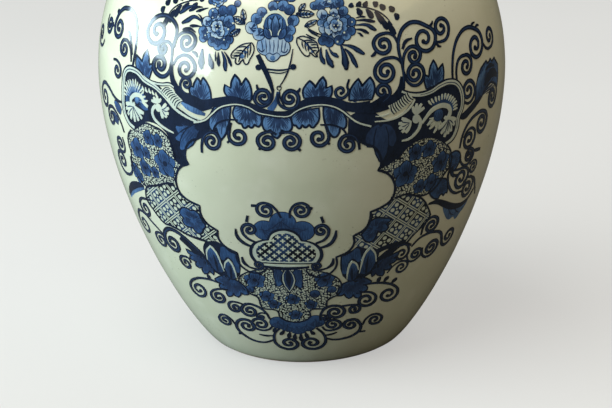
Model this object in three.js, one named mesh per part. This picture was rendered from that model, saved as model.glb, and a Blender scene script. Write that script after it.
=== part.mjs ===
// A tin-glazed earthenware storage jar with a lift-off brass lid.
// Millimetres, +Z up. The origin is the centre of the foot, on the surface that the jar stands on.

import * as THREE from "three";

// The thrown jar, outside.
const FOOT_RADIUS = 54; // outer edge of the foot ring
const FOOT_FLARE = 13.3; // how far out the wall starts to turn, past the foot's edge
const FOOT_FLARE_RISE = 10.2; // and how high up it does so
const BELLY_RADIUS = 110;
const BELLY_HEIGHT = 153;
const BELLY_LOWER_PULL = 65.6; // length of the upright run that the wall eases into below the belly
const BELLY_UPPER_PULL = 42; // and above it
const SHOULDER_RISE = 87; // from the belly's height to the root of the neck
const SHOULDER_PULL = 30; // length of the nearly level run at the neck's root
const SHOULDER_DROP = 5; // how far that run falls outwards
const NECK_RADIUS = 60;
const NECK_HEIGHT = 24; // above the neck's root
const RIM_ROUND = 2.5; // radius of the rim's two edges

// The thrown jar, inside and underneath.
const WALL = 7;
const FLOOR = 10; // the floor's thickness above the foot's plane
const FOOT_RING_WIDTH = 9;
const FOOT_RING_DEPTH = 4; // how deep the underside is turned away inside the ring
const FOOT_EDGE_ROUND = 1;

// The lid's spun brass cover.
const SHEET = 1.2;
const SKIRT_GAP = 1.5; // between the neck and the skirt, on the radius
const SKIRT_DEPTH = 19; // how far the skirt reaches down outside the neck
const SEAT_GAP = 0.3; // left between pieces that touch
const SKIRT_TURN_RADIUS = 4; // the rounded turn from the skirt to the ledge
const LEDGE_WIDTH = 5; // the flat ledge that rests on the rim
const STEP_RISE = 4; // a low upright step inside the ledge
const DOME_RISE = 36; // from the step to the dome's flat top
const DOME_FULLNESS = 19; // how far the dome stays wide as it rises
const DOME_TOP_RADIUS = 15; // the flat land under the finial
const DOME_TOP_PULL = 17; // the length of the nearly level run beside that land
const STUD_HOLE_RADIUS = 3.3;

// The half-round bead soldered round the skirt's lower edge.
const BEAD_RADIUS = 2.4;

// The cast and turned finial, and what holds it.
const PLATE_RADIUS = 13;
const PLATE_HEIGHT = 4;
const PLATE_ROUND = 1.6;
const KNOB_STEM_RADIUS = 5.5;
const KNOB_FOOT_RADIUS = 9;
const KNOB_FOOT_HEIGHT = 3;
const KNOB_STEM_HEIGHT = 9;
const KNOB_BALL_RADIUS = 13;
const KNOB_BALL_SQUASH = 0.86; // the ball's height as a share of its width
const KNOB_TIP_RADIUS = 3.4;
const KNOB_TIP_NECK = 2.2;
const STUD_RADIUS = 3;
const STUD_GAP = 0.3;
const STUD_IN_KNOB = 14;
const WASHER_RADIUS = 9;
const WASHER_HEIGHT = 1.5;
const NUT_ACROSS_FLATS = 11;
const NUT_HEIGHT = 4;
const STUD_PAST_NUT = 3;

// How finely round shapes are faceted.
const JAR_SIDES = 56;
const LID_SIDES = 48;
const KNOB_SIDES = 32;
const STUD_SIDES = 24;

// Heights that follow from the sizes above.
const neckRoot = BELLY_HEIGHT + SHOULDER_RISE;
const rimTop = neckRoot + NECK_HEIGHT;
const ledgeUnder = rimTop + SEAT_GAP;
const ledgeTop = ledgeUnder + SHEET;
const skirtInner = NECK_RADIUS + SKIRT_GAP;
const skirtOuter = skirtInner + SHEET;
const skirtFoot = ledgeUnder - SKIRT_DEPTH;
const stepOuter = skirtOuter - SKIRT_TURN_RADIUS - LEDGE_WIDTH;
const domeFoot = ledgeTop + STEP_RISE;
const domeTop = domeFoot + DOME_RISE;

const glaze = new THREE.MeshStandardMaterial({
  color: "#d9dcc0",
  roughness: 0.12,
  metalness: 0,
});
const brass = new THREE.MeshStandardMaterial({
  color: "#b08a45",
  roughness: 0.28,
  metalness: 1,
});
const steel = new THREE.MeshStandardMaterial({
  color: "#8d8271",
  roughness: 0.45,
  metalness: 1,
});

// A curve's points pushed sideways: positive distances move a rising curve outwards, away from the axis.
function offsetPoints(curve, distance, divisions) {
  return Array.from({ length: divisions + 1 }, (_, i) => {
    const t = i / divisions;
    const along = curve.getTangent(t);
    return curve
      .getPoint(t)
      .add(new THREE.Vector2(along.y, -along.x).multiplyScalar(distance));
  });
}

// A quarter turn of a rounded edge, from one angle to another, in degrees.
function arcPoints(x, y, radius, from, to, divisions) {
  return Array.from({ length: divisions + 1 }, (_, i) => {
    const angle = THREE.MathUtils.degToRad(from + ((to - from) * i) / divisions);
    return new THREE.Vector2(
      x + radius * Math.cos(angle),
      y + radius * Math.sin(angle),
    );
  });
}

// A solid turned about the vertical axis. The section runs up the outside and down the inside.
function turned(name, section, sides, material) {
  const geometry = new THREE.LatheGeometry(section, sides);
  geometry.rotateX(Math.PI / 2);
  const mesh = new THREE.Mesh(geometry, material);
  mesh.name = name;
  return mesh;
}

function at(x, y) {
  return new THREE.Vector2(x, y);
}

// The jar's outer wall in two sweeps, which meet upright at the belly.
const lowerWall = new THREE.CubicBezierCurve(
  at(FOOT_RADIUS, 0),
  at(FOOT_RADIUS + FOOT_FLARE, FOOT_FLARE_RISE),
  at(BELLY_RADIUS, BELLY_HEIGHT - BELLY_LOWER_PULL),
  at(BELLY_RADIUS, BELLY_HEIGHT),
);
const upperWall = new THREE.CubicBezierCurve(
  at(BELLY_RADIUS, BELLY_HEIGHT),
  at(BELLY_RADIUS, BELLY_HEIGHT + BELLY_UPPER_PULL),
  at(NECK_RADIUS + SHOULDER_PULL, neckRoot - SHOULDER_DROP),
  at(NECK_RADIUS, neckRoot),
);

function jarBody() {
  const lowerSteps = 11;
  const upperSteps = 10;
  const mouthRadius = NECK_RADIUS - WALL;
  const round = Math.min(RIM_ROUND, WALL * 0.45);
  const ringInner = FOOT_RADIUS - FOOT_RING_WIDTH;
  const underside = [
    at(0, FOOT_RING_DEPTH),
    at(ringInner - FOOT_RING_DEPTH * 0.5, FOOT_RING_DEPTH),
    at(ringInner, 0),
    at(FOOT_RADIUS - FOOT_EDGE_ROUND, 0),
  ];
  const outside = [
    ...lowerWall.getPoints(lowerSteps).filter((p) => p.y > FOOT_EDGE_ROUND * 0.6),
    ...upperWall.getPoints(upperSteps).slice(1),
  ];
  const rim = [
    ...arcPoints(NECK_RADIUS - round, rimTop - round, round, 0, 90, 3),
    ...arcPoints(mouthRadius + round, rimTop - round, round, 90, 180, 3),
  ];
  const inside = [
    ...offsetPoints(upperWall, -WALL, upperSteps).reverse(),
    ...offsetPoints(lowerWall, -WALL, lowerSteps).reverse().slice(1),
  ].filter((p) => p.y > FLOOR + WALL * 0.3 && p.y < neckRoot + WALL && p.x > mouthRadius);
  const floorEdge = inside[inside.length - 1].x;
  const section = [
    ...underside,
    ...outside,
    ...rim,
    at(mouthRadius, neckRoot),
    ...inside,
    at(floorEdge - WALL * 0.5, FLOOR),
    at(0, FLOOR),
  ];
  return turned("jar_body", section, JAR_SIDES, glaze);
}

// The cover's upper face, from the skirt's foot to the edge of the stud's hole. Its lower face is one
// sheet's thickness inside it.
function lidCover() {
  const dome = new THREE.CubicBezierCurve(
    at(stepOuter, domeFoot),
    at(stepOuter, domeFoot + DOME_FULLNESS),
    at(DOME_TOP_RADIUS + DOME_TOP_PULL, domeTop),
    at(DOME_TOP_RADIUS, domeTop),
  );
  const domeSteps = 9;
  const turnCentre = skirtOuter - SKIRT_TURN_RADIUS;
  const upper = [
    at(skirtOuter, skirtFoot),
    ...arcPoints(turnCentre, ledgeTop - SKIRT_TURN_RADIUS, SKIRT_TURN_RADIUS, 0, 90, 4),
    at(stepOuter, ledgeTop),
    ...dome.getPoints(domeSteps),
    at(STUD_HOLE_RADIUS, domeTop),
  ];
  const innerTurn = SKIRT_TURN_RADIUS - SHEET;
  const lower = [
    at(STUD_HOLE_RADIUS, domeTop - SHEET),
    ...offsetPoints(dome, -SHEET, domeSteps).reverse(),
    at(stepOuter - SHEET, ledgeUnder),
    ...arcPoints(turnCentre, ledgeTop - SKIRT_TURN_RADIUS, innerTurn, 90, 0, 4),
    at(skirtInner, skirtFoot),
  ];
  const section = [...upper, ...lower];
  section.push(section[0].clone());
  return turned("lid_cover", section, LID_SIDES, brass);
}

function skirtBead() {
  const inner = skirtOuter + SEAT_GAP;
  const centre = skirtFoot + BEAD_RADIUS;
  const section = [
    at(inner, centre - BEAD_RADIUS),
    ...arcPoints(inner, centre, BEAD_RADIUS, -75, 75, 6),
    at(inner, centre + BEAD_RADIUS),
  ];
  section.push(section[0].clone());
  return turned("skirt_bead", section, LID_SIDES, brass);
}

const plateFoot = domeTop + SEAT_GAP;
const knobFoot = plateFoot + PLATE_HEIGHT + SEAT_GAP;

function finialPlate() {
  const top = plateFoot + PLATE_HEIGHT;
  const section = [
    at(STUD_HOLE_RADIUS, plateFoot),
    at(PLATE_RADIUS, plateFoot),
    ...arcPoints(PLATE_RADIUS, plateFoot + PLATE_ROUND, PLATE_ROUND, -60, 90, 5),
    at(KNOB_FOOT_RADIUS + 1, plateFoot + 2 * PLATE_ROUND),
    at(KNOB_FOOT_RADIUS, top),
    at(STUD_HOLE_RADIUS, top),
  ];
  section.push(section[0].clone());
  return turned("finial_plate", section, KNOB_SIDES, brass);
}

function finialKnob() {
  const ballHalf = KNOB_BALL_RADIUS * KNOB_BALL_SQUASH;
  const stemTop = knobFoot + KNOB_FOOT_HEIGHT + KNOB_STEM_HEIGHT;
  const stemShare = KNOB_STEM_RADIUS / KNOB_BALL_RADIUS;
  const ballLow = ballHalf * Math.sqrt(1 - stemShare ** 2);
  const ballCentre = stemTop + ballLow;
  const tipShare = KNOB_TIP_NECK / KNOB_BALL_RADIUS;
  const tipNeck = ballCentre + ballHalf * Math.sqrt(1 - tipShare ** 2);
  const from = -Math.acos(stemShare);
  const to = Math.acos(tipShare);
  const ballSteps = 11;
  const ball = Array.from({ length: ballSteps + 1 }, (_, i) => {
    const angle = from + ((to - from) * i) / ballSteps;
    return at(
      KNOB_BALL_RADIUS * Math.cos(angle),
      ballCentre + ballHalf * Math.sin(angle),
    );
  });
  const waist = new THREE.CubicBezierCurve(
    at(KNOB_FOOT_RADIUS - 1, knobFoot + KNOB_FOOT_HEIGHT),
    at(KNOB_STEM_RADIUS, knobFoot + KNOB_FOOT_HEIGHT),
    at(KNOB_STEM_RADIUS * 0.6, stemTop - KNOB_STEM_HEIGHT * 0.3),
    at(KNOB_STEM_RADIUS, stemTop),
  );
  const tipCentre = tipNeck + KNOB_TIP_RADIUS * 0.8;
  const boreRadius = STUD_RADIUS + STUD_GAP;
  const boreTop = knobFoot + STUD_IN_KNOB + STUD_GAP;
  const section = [
    at(0, boreTop),
    at(boreRadius, boreTop),
    at(boreRadius, knobFoot),
    at(KNOB_FOOT_RADIUS - 0.5, knobFoot),
    ...arcPoints(
      KNOB_FOOT_RADIUS - KNOB_FOOT_HEIGHT / 2,
      knobFoot + KNOB_FOOT_HEIGHT / 2,
      KNOB_FOOT_HEIGHT / 2,
      -60,
      60,
      4,
    ),
    ...waist.getPoints(6),
    ...ball.slice(1),
    ...arcPoints(0, tipCentre, KNOB_TIP_RADIUS, -45, 80, 6),
    at(0, tipCentre + KNOB_TIP_RADIUS),
  ];
  return turned("finial_knob", section, KNOB_SIDES, brass);
}

const washerTop = domeTop - SHEET - SEAT_GAP;
const nutTop = washerTop - WASHER_HEIGHT - SEAT_GAP;

function finialWasher() {
  const section = [
    at(STUD_HOLE_RADIUS, washerTop - WASHER_HEIGHT),
    at(WASHER_RADIUS, washerTop - WASHER_HEIGHT),
    at(WASHER_RADIUS, washerTop),
    at(STUD_HOLE_RADIUS, washerTop),
  ];
  section.push(section[0].clone());
  return turned("finial_washer", section, KNOB_SIDES, brass);
}

// A square nut, drilled for the stud.
function finialNut() {
  const outline = new THREE.Shape();
  const half = NUT_ACROSS_FLATS / 2;
  outline.moveTo(-half, -half);
  outline.lineTo(half, -half);
  outline.lineTo(half, half);
  outline.lineTo(-half, half);
  outline.closePath();
  const bore = new THREE.Path();
  bore.absarc(0, 0, STUD_RADIUS + STUD_GAP, 0, 2 * Math.PI, true);
  outline.holes.push(bore);
  const geometry = new THREE.ExtrudeGeometry(outline, {
    depth: NUT_HEIGHT,
    bevelEnabled: false,
    curveSegments: STUD_SIDES / 2,
  });
  const mesh = new THREE.Mesh(geometry, steel);
  mesh.name = "finial_nut";
  mesh.position.z = nutTop - NUT_HEIGHT;
  return mesh;
}

// The threaded stud, modelled plain, from below the nut to the end of the knob's bore.
function finialStud() {
  const foot = nutTop - NUT_HEIGHT - STUD_PAST_NUT;
  const length = knobFoot + STUD_IN_KNOB - foot;
  const geometry = new THREE.CylinderGeometry(
    STUD_RADIUS,
    STUD_RADIUS,
    length,
    STUD_SIDES,
  );
  geometry.rotateX(Math.PI / 2);
  const mesh = new THREE.Mesh(geometry, steel);
  mesh.name = "finial_stud";
  mesh.position.z = foot + length / 2;
  return mesh;
}

const lid = new THREE.Group();
lid.add(
  lidCover(),
  skirtBead(),
  finialPlate(),
  finialKnob(),
  finialStud(),
  finialWasher(),
  finialNut(),
);

const jar = new THREE.Group();
jar.add(jarBody(), lid);

export default jar;
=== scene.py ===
"""A tin-glazed storage jar, painted in blue, with a brass lid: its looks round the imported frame.

The painting is drawn flat in millimetres, stroke by stroke, and then laid on the turned wall.
"""

import math
import random

import bmesh
import bpy
import numpy as np
from mathutils import Matrix, Vector
from mathutils.geometry import interpolate_bezier


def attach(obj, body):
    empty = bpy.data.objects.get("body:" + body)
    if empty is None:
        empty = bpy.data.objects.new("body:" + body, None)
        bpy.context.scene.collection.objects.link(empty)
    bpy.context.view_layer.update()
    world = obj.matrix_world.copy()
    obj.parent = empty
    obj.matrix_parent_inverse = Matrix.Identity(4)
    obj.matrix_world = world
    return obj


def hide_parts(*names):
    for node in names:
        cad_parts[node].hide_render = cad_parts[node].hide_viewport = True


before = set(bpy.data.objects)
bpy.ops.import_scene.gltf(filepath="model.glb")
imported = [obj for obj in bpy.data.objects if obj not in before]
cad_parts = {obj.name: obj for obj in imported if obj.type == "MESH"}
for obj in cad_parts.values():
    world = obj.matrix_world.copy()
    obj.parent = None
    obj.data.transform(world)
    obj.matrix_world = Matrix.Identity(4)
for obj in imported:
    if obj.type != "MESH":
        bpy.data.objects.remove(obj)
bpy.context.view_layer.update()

MM = 0.001  # sizes below are in millimetres, and Blender's are in metres

# The photograph's view: where its camera stood, seen from the jar's foot.
PHOTO_WIDTH = 612
FOCAL_PIXELS = 1700
SENSOR = 36
CAMERA_TURN = math.radians(6.5)  # to the right of the cartouche's middle
CAMERA_DOWN = math.radians(19)
CAMERA_ROLL = math.radians(-1.07)
CAMERA_REACH = 953.1
CAMERA_RIGHT = 0.92
CAMERA_AIM_HEIGHT = 72.8

# The thrown jar, as in the frame.
FOOT_RADIUS = 54
FOOT_FLARE = 13.3
FOOT_FLARE_RISE = 10.2
BELLY_RADIUS = 110
BELLY_HEIGHT = 153
BELLY_LOWER_PULL = 65.6
BELLY_UPPER_PULL = 42
NECK_ROOT = 240
SHOULDER_PULL = 30
SHOULDER_DROP = 5
NECK_RADIUS = 60
RIM_TOP = 264
RIM_ROUND = 2.5
WALL = 7
FLOOR = 10
FOOT_RING_WIDTH = 9
FOOT_RING_DEPTH = 4

# The lid, as in the frame.
SHEET = 1.2
LEDGE_TOP = 265.5
SKIRT_OUTER = 62.7
SKIRT_FOOT = 245.3
SKIRT_TURN = 4
STEP_OUTER = 53.7
DOME_FOOT = 269.5
DOME_TOP = 305.5
DOME_FULLNESS = 19
DOME_TOP_RADIUS = 15
DOME_TOP_PULL = 17
STUD_HOLE = 3.3
SEAT_GAP = 0.3
BEAD_RADIUS = 2.4
PLATE_RADIUS = 13
PLATE_HEIGHT = 4
PLATE_ROUND = 1.6
KNOB_STEM_RADIUS = 5.5
KNOB_FOOT_RADIUS = 9
KNOB_FOOT_HEIGHT = 3
KNOB_STEM_HEIGHT = 9
KNOB_BALL_RADIUS = 13
KNOB_BALL_SQUASH = 0.86
KNOB_TIP_RADIUS = 3.4
KNOB_TIP_NECK = 2.2
KNOB_BORE_DEPTH = 14.3
STUD_RADIUS = 3
STUD_FOOT = 295.2
STUD_TOP = 324.1
THREAD_PITCH = 1.25
THREAD_DEPTH = 0.35
WASHER_RADIUS = 9
WASHER_FOOT = 302.5
WASHER_HEIGHT = 1.5
NUT_SIDE = 11
NUT_FOOT = 298.2
NUT_HEIGHT = 4

# How the paint lies: coats one above the other, each a thin sheet that goes down into the wall.
COAT = 0.01
LEVELS = {
    "ground": 3,
    "net": 4,
    "trellis": 4,
    "lattice": 5,
    "pale": 7,
    "wash": 7,
    "deep": 7,
    "streak": 8,
    "line": 19,
    "core": 20,
    "reserve": 22,
}
LOBE_COATS = 3
PAINT_DEPTH = 0.25
CUT_STEP = 2.0  # wide paint is cut this small, to bend with the wall
STROKE_STEP = 2.4  # and strokes this small
HAIR = 0.0006  # between one stroke and the next in a coat
HAIR_COUNT = 9
UNSTEADY = 0.12  # how far the brush strays from a point

hand = random.Random(11)
vary = hand.uniform


def aim_camera():
    data = bpy.data.cameras.new("camera")
    data.sensor_width = SENSOR
    data.lens = FOCAL_PIXELS / PHOTO_WIDTH * SENSOR
    data.clip_start = 0.05
    data.clip_end = 50
    camera = bpy.data.objects.new("camera", data)
    camera.matrix_world = (
        Matrix.Rotation(CAMERA_TURN, 4, "Z")
        @ Matrix.Translation((CAMERA_RIGHT * MM, 0, CAMERA_AIM_HEIGHT * MM))
        @ Matrix.Rotation(math.pi / 2 - CAMERA_DOWN, 4, "X")
        @ Matrix.Translation((0, 0, CAMERA_REACH * MM))
        @ Matrix.Rotation(CAMERA_ROLL, 4, "Z")
    )
    bpy.context.scene.collection.objects.link(camera)
    bpy.context.scene.camera = camera


aim_camera()


# Shader maths: a node's output that Python arithmetic works on.


class Wire:
    def __init__(self, nodes, socket):
        self.nodes = nodes
        self.socket = socket

    def maths(self, operation, *values):
        return self.nodes.node("ShaderNodeMath", {"operation": operation}, dict(enumerate(values)))

    def __add__(self, other):
        return self.maths("ADD", self, other)

    def __sub__(self, other):
        return self.maths("SUBTRACT", self, other)

    def __mul__(self, other):
        return self.maths("MULTIPLY", self, other)

    def __rsub__(self, other):
        return self.maths("SUBTRACT", other, self)

    __radd__ = __add__
    __rmul__ = __mul__

    def root(self):
        return self.maths("SQRT", self)

    def absolute(self):
        return self.maths("ABSOLUTE", self)

    def wrapped(self, period):
        """From 0 to period, over and over."""
        return self.maths("WRAP", self, period, 0)

    def least(self, other):
        return self.maths("MINIMUM", self, other)

    def most(self, other):
        return self.maths("MAXIMUM", self, other)

    def ramp(self, low, high):
        """0 at low and 1 at high, with soft ends."""
        sockets = {"Value": self, "From Min": low, "From Max": high}
        return self.nodes.node("ShaderNodeMapRange", {"interpolation_type": "SMOOTHSTEP"}, sockets)

    def band(self, low, high, soft):
        """1 between low and high."""
        return self.ramp(low - soft, low + soft) * (1 - self.ramp(high - soft, high + soft))


class Nodes:
    """A node tree under construction."""

    def __init__(self, tree):
        self.tree = tree

    def node(self, kind, settings=None, sockets=None, output=0):
        """Any node: its type, its settings, the values or wires of its sockets, and which output."""
        made = self.tree.nodes.new(kind)
        for name, value in (settings or {}).items():
            setattr(made, name, value)
        for key, value in (sockets or {}).items():
            self.plug(made.inputs[key], value)
        return Wire(self, made.outputs[output])

    def plug(self, socket, value):
        if isinstance(value, Wire):
            self.tree.links.new(value.socket, socket)
        else:
            socket.default_value = value

    def ray(self, kind):
        """1 for rays of that kind and 0 for others."""
        return self.node("ShaderNodeLightPath", output=f"Is {kind} Ray")


class Finish(Nodes):
    """A material under construction round one Principled shader."""

    def __init__(self, name, constants):
        self.material = bpy.data.materials.new(name)
        self.material.use_nodes = True
        super().__init__(self.material.node_tree)
        self.shader = self.tree.nodes["Principled BSDF"]
        for socket, value in constants.items():
            self.feed(socket, value)

    def feed(self, name, value):
        self.plug(self.shader.inputs[name], value)

    def place(self):
        """Where a point lies on the object, in metres."""
        return self.node("ShaderNodeTexCoord", output="Object")

    def drawn_at(self):
        """Where a painted point lies on its flat drawing, in millimetres."""
        return self.node("ShaderNodeAttribute", {"attribute_name": "drawn_at"}, output="Vector")

    def load(self):
        """How full the brush was: 1 at the root of a petal and 0 at its rim."""
        return self.node("ShaderNodeAttribute", {"attribute_name": "load"}, output="Fac")

    def parts(self, vector):
        split = self.node("ShaderNodeSeparateXYZ", None, {0: vector}).socket.node
        return [Wire(self, socket) for socket in split.outputs]

    def joined(self, x, y, z):
        return self.node("ShaderNodeCombineXYZ", None, {0: x, 1: y, 2: z})

    def mapped(self, vector, scale=(1, 1, 1), turn=0):
        sockets = {"Vector": vector, "Scale": scale, "Rotation": (0, 0, turn)}
        return self.node("ShaderNodeMapping", None, sockets)

    def noise(self, vector, scale, detail=2.0, rough=0.5, bend=0.0, output="Fac"):
        sockets = {"Vector": vector, "Scale": scale, "Detail": detail, "Roughness": rough, "Distortion": bend}
        return self.node("ShaderNodeTexNoise", None, sockets, output)

    def mix(self, factor, low, high):
        """A colour between two others."""
        sockets = {0: factor, 6: colour(low), 7: colour(high)}
        return self.node("ShaderNodeMix", {"data_type": "RGBA"}, sockets, 2)

    def bump(self, height, strength, distance):
        sockets = {"Height": height, "Strength": strength, "Distance": distance}
        self.feed("Normal", self.node("ShaderNodeBump", None, sockets))


def colour(value):
    return value if isinstance(value, Wire) else (*value, 1)


# Finishes of the glaze and the paint.

GLAZE = (0.645, 0.650, 0.520)
GLAZE_GREEN = (0.590, 0.606, 0.468)
GLAZE_PALE = (0.705, 0.708, 0.595)
GLAZE_THIN = (0.42, 0.33, 0.20)
SPECK = (0.12, 0.10, 0.07)
CLAY = (0.36, 0.19, 0.10)
CLAY_DARK = (0.24, 0.12, 0.065)
COBALT_DARK = (0.004, 0.008, 0.018)
COBALT_LINE = (0.012, 0.023, 0.058)
COBALT_POOL = (0.014, 0.034, 0.090)
COBALT_DEEP = (0.025, 0.058, 0.145)
COBALT_STREAK = (0.028, 0.060, 0.150)
COBALT_MID = (0.042, 0.108, 0.268)
COBALT_LIGHT = (0.110, 0.230, 0.450)
COBALT_FAINT = (0.38, 0.47, 0.54)
RESERVE = (0.60, 0.645, 0.52)
RESERVE_STAINED = (0.42, 0.50, 0.49)
NET_BARE = (0.56, 0.61, 0.51)
TRELLIS_BARE = (0.55, 0.60, 0.50)
GLOSS = {"Roughness": 0.13, "IOR": 1.5}

NET_SWAY = 1.6
NET_SCALE = 0.82
TRELLIS_CELL = 8.9
TRELLIS_TURN = math.radians(36)
TRELLIS_PETAL = 1.7  # a petal's middle, from the flower's, along each side of its square
LATTICE_CELL = 3.4


def fired(finish, place, tone):
    """Its colour, and the glaze's faint waves, the same over bare and painted places."""
    finish.feed("Base Color", tone)
    broad = finish.noise(place, 38, 2)
    fine = finish.noise(place, 260, 1)
    finish.bump(broad + fine * 0.12, 0.30, 0.0012)
    return finish.material


def glaze_finish():
    """Tin glaze, cloudy and specked, thin towards the foot's edge and wiped off under it."""
    finish = Finish("tin_glaze", GLOSS)
    place = finish.place()
    cloud = finish.noise(place, 14, 3, 0.6)
    pool = finish.noise(place, 60, 2)
    tone = finish.mix(cloud.ramp(0.35, 0.68), GLAZE, GLAZE_GREEN)
    tone = finish.mix(pool.ramp(0.50, 0.78) * 0.5, tone, GLAZE_PALE)
    spots = finish.noise(place, 900, 0).ramp(0.75, 0.80) * finish.noise(place, 70, 0).ramp(0.62, 0.72)
    tone = finish.mix(spots * 0.45, tone, SPECK)
    edge = finish.parts(place)[2] * 1000 + (pool - 0.5) * 2.2
    bare = 1 - edge.ramp(0.3, 1.0)
    thin = (1 - edge.ramp(1.0, 4.0)) * 0.3
    clay = finish.mix(finish.noise(place, 260, 3).ramp(0.35, 0.7), CLAY, CLAY_DARK)
    finish.feed("Roughness", bare * 0.6 + pool * 0.06 + 0.10)
    return fired(finish, place, finish.mix(bare, finish.mix(thin, tone, GLAZE_THIN), clay))


def paint_finish(name, thin, thick, depth=0.2, hairs=0.4, fade=0.0):
    """Cobalt fired into the glaze: thick and thin, with the marks of the brush's hairs."""
    finish = Finish(name, GLOSS)
    place = finish.place()
    pools = finish.noise(place, 110, 3, 0.65)
    streaks = finish.noise(finish.mapped(finish.drawn_at(), (1.7, 0.24, 0)), 1, 3, 0.6)
    tone = pools * (1 - hairs) + streaks * hairs + (finish.load() - 0.5) * fade
    return fired(finish, place, finish.mix(tone.ramp(0.5 - depth, 0.5 + depth), thin, thick))


def pattern_finish(name, pattern, cobalt, bare, grain):
    """Dark cobalt round the bare places that a pattern leaves in the flat drawing."""
    finish = Finish(name, GLOSS)
    place = finish.place()
    blue = finish.mix(finish.noise(place, grain, 2).ramp(0.35, 0.65), cobalt, COBALT_DARK)
    return fired(finish, place, finish.mix(pattern(finish, finish.drawn_at()), blue, bare))


def net_cells(finish, drawn):
    """Small uneven cells of bare glaze in a blue net."""
    sway = finish.noise(drawn, 0.5, 1, output="Color")
    sockets = {0: sway, 1: (NET_SWAY, NET_SWAY, 0), 2: drawn}
    bent = finish.node("ShaderNodeVectorMath", {"operation": "MULTIPLY_ADD"}, sockets)
    cells = finish.node(
        "ShaderNodeTexVoronoi",
        {"voronoi_dimensions": "2D", "distance": "CHEBYCHEV"},
        {"Vector": bent, "Scale": NET_SCALE, "Randomness": 0.7},
    )
    return cells.ramp(0.40, 0.26)


def trellis_frames(finish, drawn):
    """Tilted squares, each within a double white line and round a pale four-petalled flower."""
    u, v, _ = finish.parts(finish.mapped(drawn, turn=TRELLIS_TURN))
    half = TRELLIS_CELL / 2
    u = (u.wrapped(TRELLIS_CELL) - half).absolute()
    v = (v.wrapped(TRELLIS_CELL) - half).absolute()
    frames = (half - u.most(v)).band(0.24, 0.82, 0.1)
    across = u - TRELLIS_PETAL
    along = v - TRELLIS_PETAL
    petals = (across * across + along * along).ramp(1.65, 1.0)
    heart = (u * u + v * v).ramp(0.4, 0.15)
    return (frames + petals + heart).least(1)


def lattice_canes(finish, drawn):
    """The basket: crossed dark canes, with a small pale cross in every opening."""
    x, arc, _ = finish.parts(drawn)
    half_turn = math.sqrt(0.5)
    u = ((x + arc) * half_turn).wrapped(LATTICE_CELL) - LATTICE_CELL / 2
    v = ((arc - x) * half_turn).wrapped(LATTICE_CELL) - LATTICE_CELL / 2
    across = ((u - v) * half_turn).absolute()
    along = ((u + v) * half_turn).absolute()
    return (1 - across.least(along).ramp(0.30, 0.46)) * (1 - across.most(along).ramp(1.15, 1.4))


PAINTS = {
    "ground": paint_finish("ground_cobalt", COBALT_LINE, COBALT_DARK, 0.3),
    "net": pattern_finish("net_pattern", net_cells, COBALT_LINE, NET_BARE, 120),
    "trellis": pattern_finish("trellis_pattern", trellis_frames, COBALT_DEEP, TRELLIS_BARE, 130),
    "lattice": pattern_finish("lattice_pattern", lattice_canes, COBALT_DEEP, RESERVE, 130),
    "pale": paint_finish("pale_cobalt", COBALT_FAINT, COBALT_LIGHT, 0.24, 0.4, 0.4),
    "wash": paint_finish("wash_cobalt", COBALT_LIGHT, COBALT_DEEP, 0.20, 0.65, 0.26),
    "deep": paint_finish("deep_cobalt", COBALT_MID, COBALT_POOL, 0.20, 0.6, 0.24),
    "streak": paint_finish("streak_cobalt", COBALT_STREAK, COBALT_LINE),
    "line": paint_finish("line_cobalt", COBALT_LINE, COBALT_DARK, 0.25),
    "core": paint_finish("core_cobalt", COBALT_DEEP, COBALT_LINE, 0.25),
    "reserve": paint_finish("reserved_glaze", RESERVE, RESERVE_STAINED, 0.24),
}
glaze = glaze_finish()


# The wall: its outline by arc length, and a point of it by angle and arc length.


def swept(start, start_pull, end_pull, end, steps):
    knots = [Vector(point) for point in (start, start_pull, end_pull, end)]
    return [tuple(point) for point in interpolate_bezier(*knots, steps)]


def outer_wall(steps):
    """From the foot's edge to the neck's root, as radius and height."""
    lower = swept(
        (FOOT_RADIUS, 0), (FOOT_RADIUS + FOOT_FLARE, FOOT_FLARE_RISE),
        (BELLY_RADIUS, BELLY_HEIGHT - BELLY_LOWER_PULL), (BELLY_RADIUS, BELLY_HEIGHT),
        steps,
    )
    upper = swept(
        (BELLY_RADIUS, BELLY_HEIGHT), (BELLY_RADIUS, BELLY_HEIGHT + BELLY_UPPER_PULL),
        (NECK_RADIUS + SHOULDER_PULL, NECK_ROOT - SHOULDER_DROP), (NECK_RADIUS, NECK_ROOT),
        steps,
    )
    return lower + upper[1:]


WALL_OUTLINE = np.array([*outer_wall(600), (NECK_RADIUS, RIM_TOP - RIM_ROUND)])
WALL_LENGTHS = np.hypot(*np.diff(WALL_OUTLINE, axis=0).T)
WALL_ARC = np.concatenate([[0], np.cumsum(WALL_LENGTHS)])


def wall_radius(arc):
    return np.interp(arc, WALL_ARC, WALL_OUTLINE[:, 0])


def wall_height(arc):
    return np.interp(arc, WALL_ARC, WALL_OUTLINE[:, 1])


def bulge(angle, height):
    """How far the hand-thrown wall strays from a true one, in millimetres, between its foot and neck."""
    sway = 0.15 * np.cos(2 * angle + 0.8 + height / 60) + 0.09 * np.cos(3 * angle - height / 38)
    ridges = 0.03 * np.cos(height / 4 + 0.5 * np.cos(angle)) + 0.05 * np.cos(7 * angle + height / 17)
    fade = np.clip(height / 25, 0, 1) * np.clip((228 - height) / 20, 0, 1)
    return (sway + ridges) * fade


def skin(angle, arc):
    height = wall_height(arc)
    radius = wall_radius(arc) + bulge(angle, height)
    return np.stack([radius * np.sin(angle), -radius * np.cos(angle), height], -1)


def on_wall(angle, arc, lift):
    """Points at that height over the wall, and the directions straight out of it."""
    turn = skin(angle + 0.004, arc) - skin(angle - 0.004, arc)
    rise = skin(angle, arc + 0.4) - skin(angle, arc - 0.4)
    out = np.cross(turn, rise)
    out /= np.linalg.norm(out, axis=-1, keepdims=True)
    return skin(angle, arc) + out * lift[:, None], out


# The brush.


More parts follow.
